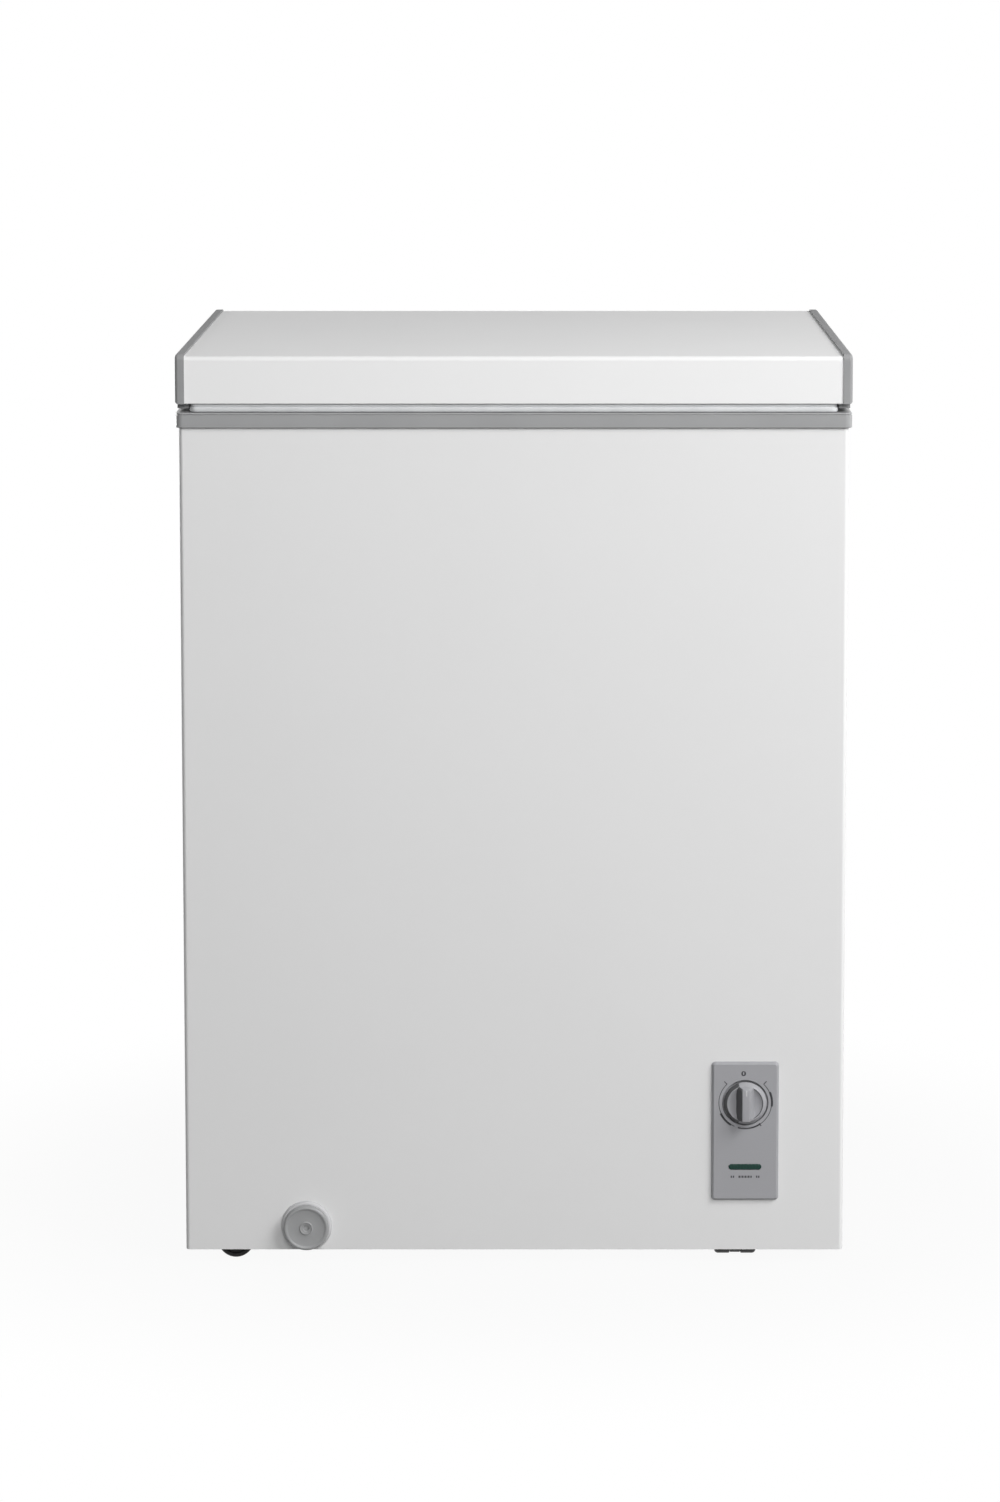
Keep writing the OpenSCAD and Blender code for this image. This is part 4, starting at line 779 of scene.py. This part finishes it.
def make_seal():
    """Lid seal: a flange under the lid, a neck and the bulb that holds the magnet."""
    low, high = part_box("gasket")
    forward = 3.2  # towards the front of the lid
    width, depth = (high.x - low.x) / MM, (high.y - low.y) / MM + forward
    base, top = low.z / MM, high.z / MM
    wide = 13 + forward / 2
    corner, least = 6.5, 0.6

    def at(inset, height):
        return width - 2 * inset, depth - 2 * inset, max(corner - inset, least), height

    rings = [
        # Flange and its neck
        at(1.2, top), at(0.9, top - 0.2), at(0.8, top - 2.4), at(1.2, top - 2.7),
        at(1.2, top - 3.0),
        # Outside and foot of the bulb
        at(0.5, top - 3.2), at(0.1, top - 3.6), at(0, top - 4.3), at(0, base + 1.9),
        at(0.2, base + 0.8), at(0.9, base + 0.1), at(1.8, base), at(wide - 3, base),
        # Inside, back up to the flange
        at(wide - 2.2, base + 0.4), at(wide - 2, base + 1.4), at(wide - 2.2, base + 3.4),
        at(wide - 3.5, base + 4.0), at(wide - 2, top - 2.0), at(wide, top - 1.6),
        at(wide, top - 0.3),
    ]
    seal = stacked("lid_seal", rings, True, (0, (low.y + high.y - forward * MM) / 2, 0), segments=6)
    smooth(seal, 60)
    return finish(seal, LOOKS["soft_grey"], "lid", "soft_grey", "gasket")


make_lid_panel()
make_lid_cap(-1, "lid_cap_left", "lid_end_left")
make_lid_cap(1, "lid_cap_right", "lid_end_right")
make_seal()


# ---------------------------------------------------------------------------
# Control panel
# ---------------------------------------------------------------------------

bezel_mid = (bezel_low + bezel_high) / 2
bezel_top = (front - bezel_low.y) / MM
knob_low, knob_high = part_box("thermostat_knob")
knob_mid = (knob_low + knob_high) / 2
lens_low, lens_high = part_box("indicator_lens")
lens_mid = (lens_low + lens_high) / 2

LENS_WIDTH = 30.6
LENS_HEIGHT = 5.4
LENS_GAP = 0.3
ALMOST = 0.01  # a round end has to be this much smaller than half its bar


def make_bezel():
    """Control panel: a plate with slanted edges, a dish for the knob and a slot for the lens."""
    width, height = (bezel_high.x - bezel_low.x) / MM, (bezel_high.z - bezel_low.z) / MM
    top = bezel_top
    rings = [
        (width - 0.6, height - 0.6, 3.2, 0.0), (width, height, 3.5, 0.3), (width, height, 3.5, 0.9),
        (width - 0.7, height - 0.7, 3.2, 1.25), (width - 3.4, height - 3.4, 2.6, top - 0.35),
        (width - 4.4, height - 4.4, 2.3, top),
    ]
    plate = stacked("control_plate", rings, False, (bezel_mid.x, front, bezel_mid.z), "-Y", 6)
    dish = [(6, top - 3.2), (21.0, top - 3.2), (21.2, top - 0.7), (21.4, top - 0.3),
            (21.8, top + 0.2), (21.8, top + 3)]
    cut(plate, turned("dish", dish, 96, (knob_mid.x, front, knob_mid.z), "-Y"))
    slot_w, slot_h = LENS_WIDTH + LENS_GAP, LENS_HEIGHT + LENS_GAP
    end = slot_h / 2 - ALMOST
    slot = stacked("slot", [(slot_w, slot_h, end, -1), (slot_w, slot_h, end, 9)],
                   False, (lens_mid.x, front, lens_mid.z), "-Y", 10)
    cut(plate, slot)
    even(smooth(plate, 30))
    return finish(plate, LOOKS["silver_plastic"], "cabinet", "silver_plastic", "control_bezel")


def arc(name, radius, width, start, end):
    """A printed arc round the knob; the angles are degrees clockwise from the top."""
    near, far = radius - width / 2, radius + width / 2
    clear()
    bpy.ops.mesh.primitive_circle_add(vertices=180, radius=near * MM, fill_type="NOTHING")
    ring = settle(named(name))
    edit_all(ring)
    bpy.ops.mesh.extrude_edges_move(TRANSFORM_OT_translate={"value": (0, 0, 0)})
    bpy.ops.transform.resize(value=(far / near, far / near, 1), center_override=(0, 0, 0))
    close_edit()
    delete_faces(ring, lambda mid, normal:
                 not start <= math.degrees(math.atan2(mid.x, mid.y)) % 360 <= end)
    return ring


def bar(name, x, y, width, height):
    """A flat printed bar round a point, in millimetres."""
    clear()
    bpy.ops.mesh.primitive_plane_add(size=1, location=(x * MM, y * MM, 0))
    piece = named(name)
    piece.scale = (width * MM, height * MM, 1)
    return settle(piece)


def tick(name, angle, near, far, width):
    """A printed tick that points away from the knob."""
    piece = bar(name, 0, (near + far) / 2, width, far - near)
    piece.rotation_euler = (0, 0, -math.radians(angle))
    return settle(piece)


def digit(name, figure, size, x, y):
    """A printed figure, wider than the font draws it and a little bolder."""
    clear()
    bpy.ops.object.text_add(location=(0, 0, 0))
    text = bpy.context.object.data
    text.body = figure
    text.size = size * MM
    text.offset = 0.25 * MM
    text.align_x = "CENTER"
    text.align_y = "CENTER"
    bpy.ops.object.convert(target="MESH")
    piece = named(name)
    piece.location = (x * MM, y * MM, 0)
    piece.scale = (1.4, 1, 1)
    return settle(piece)


def make_scale():
    """Marks round the knob and a row of dashes under the lens, in millimetres from the knob."""
    below_lens = 9.4
    dashes = -(knob_mid.z - lens_mid.z) / MM - below_lens
    track = 24.6
    marks = [
        arc("thin_right", track, 0.7, 44, 166), arc("thin_left", track, 0.7, 204, 316),
        arc("bold_right", 25.0, 2.0, 66, 99), arc("bold_left", 25.0, 2.0, 212, 245),
        arc("low", track, 1.5, 146, 196),
        tick("end_right", 44, 24.4, 28.4, 0.9), tick("end_left", 316, 24.4, 28.4, 0.9),
        tick("low_end", 146, 23.4, 26.8, 1.0),
        digit("zero", "0", 6.0, -1.6, 27.6),
    ]
    for x, width in ((-12.6, 1.3), (-10.6, 1.3), (-5.0, 2.0), (-2.2, 2.0), (0.6, 2.0), (3.4, 2.0),
                     (5.8, 1.4), (11.0, 1.3), (13.0, 1.3)):
        marks.append(bar("dash", x, dashes, width, 2.1))
    scale = join("scale_print", marks)
    edit_all(scale)
    bpy.ops.mesh.normals_make_consistent(inside=False)
    close_edit()
    modify(scale, "SOLIDIFY", thickness=0.06 * MM, offset=0)
    place(scale, (knob_mid.x, bezel_low.y - 0.02 * MM, knob_mid.z), "-Y")
    return finish(scale, INK, "cabinet", "black_plastic")


def make_knob():
    """Knob: a silver skirt with a dished face and a slanted grip across it."""
    back = (front - knob_high.y) / MM
    tip = (front - knob_low.y) / MM - 0.08
    skirt = back + 4.0
    radius = (knob_high.x - knob_low.x) / 2 / MM
    outline = [
        (radius - 1.2, back), (radius - 0.3, back + 0.2), (radius, back + 0.7),
        (radius - 0.2, back + 1.1), (radius - 2.5, skirt - 0.5), (radius - 2.9, skirt - 0.1),
        (radius - 3.4, skirt), (radius - 3.8, skirt - 0.2), (radius - 4.3, skirt - 0.8),
        (radius - 5.6, skirt - 1.7), (radius - 8.2, skirt - 2.6), (radius - 11, skirt - 3.1),
        (1, skirt - 3.3),
    ]
    knob = turned("knob_cap", outline, 96)
    # The grip is a bar whose top is narrower than its foot and a little to the right
    half, wide = radius - 3.2, 8.4
    grip = block("grip", (-wide * MM, -half * MM, (skirt - 2.6) * MM),
                 (wide * MM, half * MM, tip * MM))
    choose(grip, "FACE", lambda mid, normal: normal.z > 0.9)
    bpy.ops.transform.resize(value=(0.44, 0.9, 1), center_override=(0.6 * MM, 0, tip * MM))
    close_edit()
    round_edges(grip, 0.9 * MM, 4, lambda a, b: min(a.z, b.z) > tip * MM - TINY)
    round_edges(grip, 2.4 * MM, 4,
                lambda a, b: abs(a.z - b.z) > 2 * MM and min(abs(a.y), abs(b.y)) > half * 0.7 * MM)
    cut(knob, grip, "UNION")
    soften(knob, 0.15 * MM)
    place(knob, (knob_mid.x, front, knob_mid.z), "-Y")
    finish(knob, LOOKS["silver_plastic"], "knob", "silver_plastic", "thermostat_knob")
    # The steep flanks that face left get the dark copy of the lacquer: painted shade where the
    # light from the right does not reach
    knob.data.materials.append(PAINTED_SHADE_SILVER)
    for face in knob.data.polygons:
        steep, leftward = abs(face.normal.y) < 0.78, face.normal.x < -0.25
        face.material_index = int(steep and leftward)
    return knob


def make_pointer():
    """Light line at the top of the grip."""
    tip = (front - knob_low.y) / MM
    line = block("knob_pointer", (0, 9.5 * MM, (tip - 0.25) * MM), (1.2 * MM, 15 * MM, tip * MM))
    soften(line, 0.1 * MM)
    place(line, (knob_mid.x, front, knob_mid.z), "-Y")
    return finish(line, LOOKS["white_plastic"], "knob", "white_plastic")


def make_lens():
    """Indicator lens: a slim bar with rounded ends and a crowned face."""
    width, height = LENS_WIDTH, LENS_HEIGHT
    end = height / 2 - ALMOST
    top = (front - lens_low.y) / MM
    rings = [
        (width, height, end, -1.4), (width, height, end, top - 0.5),
        (width - 0.5, height - 0.5, height / 2 - 0.26, top - 0.15),
        (width - 1.6, height - 1.6, height / 2 - 0.82, top),
    ]
    lens = stacked("signal_lens", rings, False, (lens_mid.x, front, lens_mid.z), "-Y", 10)
    smooth(lens, 50)
    return finish(lens, LOOKS["green_lens"], "cabinet", "green_lens", "indicator_lens")


make_bezel()
make_scale()
make_knob()
make_pointer()
make_lens()


# ---------------------------------------------------------------------------
# Drain
# ---------------------------------------------------------------------------

def make_drain_ring():
    """Conical flange of the drain with its socket behind."""
    outline = [
        # Socket, flange and bore
        (10.9, -24), (10.9, 0.0),
        (23.2, 0.0), (23.8, 0.3), (23.7, 0.9), (22.6, 3.3), (22.2, 3.8), (21.6, 4.0),
        (10.5, 4.0), (9.6, 3.2), (9.6, -22),
    ]
    ring = turned("drain_ring", outline, 96, (dial_mid.x, front, dial_mid.z), "-Y")
    # The flange is cut off level with the socket's foot
    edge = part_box("drain_socket")[0].z
    cut(ring, block("floor_side", (dial_mid.x - 30 * MM, front - 20 * MM, edge - 30 * MM),
                    (dial_mid.x + 30 * MM, front, edge)))
    smooth(ring, 35)
    return finish(ring, LOOKS["white_plastic"], "cabinet", "white_plastic", "drain_socket")


def make_drain_dial():
    """Dial with a raised rim, a dished face and a small ring round its middle."""
    back = (front - dial_high.y) / MM
    tip = (front - dial_low.y) / MM
    radius = (dial_high.x - dial_low.x) / 2 / MM + 1.4
    outline = [
        # Flank and raised rim
        (radius - 1.0, back), (radius - 0.2, back + 0.3), (radius, back + 1.0),
        (radius - 0.1, tip - 1.8), (radius - 0.5, tip - 0.8), (radius - 1.2, tip - 0.2),
        (radius - 2.0, tip), (radius - 2.8, tip - 0.15), (radius - 3.5, tip - 0.8),
        (radius - 4.3, tip - 1.15),
        # Small ring
        (7.0, tip - 1.2), (6.4, tip - 1.1), (6.1, tip - 0.6), (5.7, tip - 0.4), (5.2, tip - 0.5),
        (4.8, tip - 1.1), (4.4, tip - 1.2),
        # Dimple
        (3.2, tip - 1.2), (2.9, tip - 1.4), (2.6, tip - 2.6), (0.4, tip - 2.7),
    ]
    dial = turned("drain_face", outline, 96, (dial_mid.x, front, dial_mid.z), "-Y")
    smooth(dial, 40)
    return finish(dial, LOOKS["grey_plastic"], "drain_dial", "grey_plastic", "drain_dial")


make_drain_ring()
make_drain_dial()


# ---------------------------------------------------------------------------
# Casters
# ---------------------------------------------------------------------------

CORNERS = ("front_left", "front_right", "rear_left", "rear_right")
WHEEL_RADIUS = 17.0
WHEEL_INSIDE, WHEEL_OUTSIDE = 5.0, 19.5  # from the middle of the pair


def make_wheel_pairs():
    """One twin wheel, modelled once and copied to the four casters."""
    radius, inside, outside = WHEEL_RADIUS, WHEEL_INSIDE, WHEEL_OUTSIDE
    outline = [
        # Inner hub, tread and outer edge
        (3.2, inside - 0.6), (6, inside - 0.4), (6.6, inside), (radius - 1.2, inside),
        (radius - 0.3, inside + 0.3), (radius, inside + 1.2), (radius, outside - 3.5),
        (radius - 0.3, outside - 2.1), (radius - 1.1, outside - 0.9),
        (radius - 2.2, outside - 0.25),
        # Outer face with its hub
        (radius - 3.5, outside), (radius - 4.2, outside - 0.1), (radius - 4.6, outside - 0.7),
        (radius - 5.2, outside - 1.3), (6.2, outside - 1.6), (5.6, outside - 1.4),
        (5.2, outside - 0.4), (4.6, outside - 0.1), (0.6, outside),
    ]
    wheel = turned("wheel", outline, 72)
    other = twin(wheel, "wheel_other")
    other.rotation_euler = (math.pi, 0, 0)
    settle(other)
    axle = turned("axle", [(2.9, -inside - 0.5), (2.9, inside + 0.5)], 32)
    pair = join("wheel_pair", [wheel, other, axle])
    smooth(pair, 40)
    for corner in CORNERS:
        node = f"caster_wheels_{corner}"
        low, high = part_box(node)
        along_x = (high.x - low.x) > (high.y - low.y)
        copy = twin(pair, f"twin_wheel_{corner}")
        place(copy, (low + high) / 2, "X" if along_x else "Y")
        finish(copy, LOOKS["black_plastic"], f"wheels_{corner}", "black_plastic", node)
    bpy.data.objects.remove(pair)


def make_forks():
    """The hoods that the wheels roll in."""
    for corner in CORNERS:
        node = f"caster_fork_{corner}"
        fork = dressed(node, f"caster_body_{corner}", 0.5)
        finish(fork, LOOKS["black_plastic"], f"fork_{corner}", "black_plastic", node)


make_wheel_pairs()
make_forks()


# ---------------------------------------------------------------------------
# Hinges
# ---------------------------------------------------------------------------

SPRING_WIRE = 1.4 * MM
SPRING_RADIUS = 7 * MM
SPRING_TURNS = 10


def make_spring(side):
    """Coil spring between the channel's floor and the plunger."""
    low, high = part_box(f"hinge_spring_{side}")
    x, y = (low.x + high.x) / 2, (low.y + high.y) / 2
    clear()
    bpy.ops.mesh.primitive_circle_add(vertices=10, radius=SPRING_WIRE, fill_type="NGON",
                                      location=(SPRING_RADIUS, 0, 0), rotation=(math.pi / 2, 0, 0))
    spring = settle(named(f"coil_spring_{side}"))
    height = high.z - low.z - 2 * SPRING_WIRE
    modify(spring, "SCREW", axis="Z", angle=math.tau * SPRING_TURNS, screw_offset=height,
           steps=24 * SPRING_TURNS, use_merge_vertices=True)
    place(outward(spring), (x, y, low.z + SPRING_WIRE))
    smooth(spring, 60)
    finish(spring, LOOKS["black_steel"], None, "black_steel", f"hinge_spring_{side}")
    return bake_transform(spring)


for side in ("left", "right"):
    make_spring(side)
    finish(dressed(f"hinge_bracket_{side}", f"hinge_channel_{side}", 0.3), LOOKS["zinc"], "cabinet",
           "zinc", f"hinge_bracket_{side}")
    finish(dressed(f"hinge_arm_{side}", f"hinge_strap_{side}", 0.25), LOOKS["zinc"], "lid",
           "zinc", f"hinge_arm_{side}")


# ---------------------------------------------------------------------------
# Floor, light and camera
# ---------------------------------------------------------------------------

CAMERA_AT = (0.0208, -4.44, 1.2196)
CAMERA_PITCH = 6.7728
CAMERA_LENS = 109.54
CAMERA_SHIFT = (-0.0243, -0.17)

# Name, place, aim, size and power
LAMPS = (
    ("key_right", (2.0, -1.9, 2.3), (0, -0.2, 0.6), (1.6, 1.6), 80),
    ("front", (0.4, -4.6, 2.7), (0, 0, 0.6), (2.4, 1.6), 78),
    ("side_right", (2.4, 0.1, 1.0), (0.3, -0.1, 0.6), (0.7, 1.6), 12),
    ("rear_left", (-3.0, 3.2, 0.95), (0, 0, 0.45), (2.2, 1.8), 120),
)
WHITE = (1, 1, 1, 1)


def combine(tree, operation, first, second):
    """Works out one number from two sockets."""
    node = tree.nodes.new("ShaderNodeMath")
    node.operation = operation
    tree.links.new(first, node.inputs[0])
    tree.links.new(second, node.inputs[1])
    return node.outputs[0]


def seen_rays(tree):
    """1 for what the camera sees directly, in a reflection or through a clear part."""
    path = tree.nodes.new("ShaderNodeLightPath")
    seen = path.outputs["Is Camera Ray"]
    for ray in ("Is Glossy Ray", "Is Transmission Ray"):
        seen = combine(tree, "MAXIMUM", seen, path.outputs[ray])
    return seen


def soft_step(tree, value, start, end, low, high):
    """Goes softly from low to high while a value goes from start to end."""
    step = tree.nodes.new("ShaderNodeMapRange")
    step.interpolation_type = "SMOOTHSTEP"
    for key, number in (("From Min", start), ("From Max", end), ("To Min", low), ("To Max", high)):
        step.inputs[key].default_value = number
    tree.links.new(value, step.inputs["Value"])
    return step.outputs["Result"]


def mix_shaders(tree, share, first, second, output):
    """Mixes two shaders and sends the result to an output."""
    mixed = tree.nodes.new("ShaderNodeMixShader")
    for source, socket in zip((share, first.outputs[0], second.outputs[0]), mixed.inputs):
        tree.links.new(source, socket)
    tree.links.new(mixed.outputs[0], tree.nodes[output].inputs["Surface"])


def make_floor():
    """Pale floor that the camera sees nearly white, and white away from the freezer."""
    clear()
    bpy.ops.mesh.primitive_plane_add(size=60, location=(0, 0, -0.4 * MM))
    floor = settle(named("studio_floor"))
    material = bpy.data.materials.new("studio_floor")
    material.use_nodes = True
    tree = material.node_tree
    shader = tree.nodes["Principled BSDF"]
    shader.inputs["Base Color"].default_value = (*grey(0.3), 1)
    shader.inputs["Roughness"].default_value = 0.9
    shader.inputs["Specular IOR Level"].default_value = 0.0
    distance = tree.nodes.new("ShaderNodeVectorMath")
    distance.operation = "LENGTH"
    tree.links.new(tree.nodes.new("ShaderNodeTexCoord").outputs["Object"], distance.inputs[0])
    # How much of what the camera sees glows: less near the freezer, so that its shade shows
    share = soft_step(tree, distance.outputs["Value"], 0.33, 0.8, 0.94, 1.0)
    glow = tree.nodes.new("ShaderNodeEmission")
    glow.inputs["Color"].default_value = WHITE
    mix_shaders(tree, combine(tree, "MULTIPLY", seen_rays(tree), share), shader, glow,
                "Material Output")
    floor.data.materials.append(material)


def make_world():
    """A studio that is dim on the left and brighter on the right, and white to the camera."""
    world = bpy.data.worlds.new("studio")
    world.use_nodes = True
    tree = world.node_tree
    across = tree.nodes.new("ShaderNodeSeparateXYZ")
    tree.links.new(tree.nodes.new("ShaderNodeTexCoord").outputs["Generated"], across.inputs[0])
    level = soft_step(tree, across.outputs["X"], -0.5, 0.8, 0.07, 0.22)
    plain = tree.nodes["Background"]
    plain.inputs["Color"].default_value = WHITE
    tree.links.new(level, plain.inputs["Strength"])
    white = tree.nodes.new("ShaderNodeBackground")
    white.inputs["Color"].default_value = WHITE
    mix_shaders(tree, seen_rays(tree), plain, white, "World Output")
    bpy.context.scene.world = world


def softbox(name, at, aim, size, power):
    """A rectangular lamp turned towards a point."""
    clear()
    bpy.ops.object.light_add(type="AREA", location=at)
    lamp = bpy.context.object
    lamp.name = lamp.data.name = name
    lamp.data.shape = "RECTANGLE"
    lamp.data.size, lamp.data.size_y = size
    lamp.data.energy = power
    lamp.rotation_euler = (Vector(aim) - Vector(at)).to_track_quat("-Z", "Y").to_euler()


def make_camera():
    """Long lens from a little above the lid."""
    clear()
    bpy.ops.object.camera_add(location=CAMERA_AT,
                              rotation=(math.pi / 2 - math.radians(CAMERA_PITCH), 0, 0))
    camera = bpy.context.object
    camera.name = camera.data.name = "studio_camera"
    camera.data.sensor_width = 36
    camera.data.lens = CAMERA_LENS
    camera.data.shift_x, camera.data.shift_y = CAMERA_SHIFT
    camera.data.clip_end = 60
    bpy.context.scene.camera = camera


make_floor()
make_world()
for lamp in LAMPS:
    softbox(*lamp)
make_camera()

bpy.context.scene.view_settings.view_transform = "Standard"

clear()
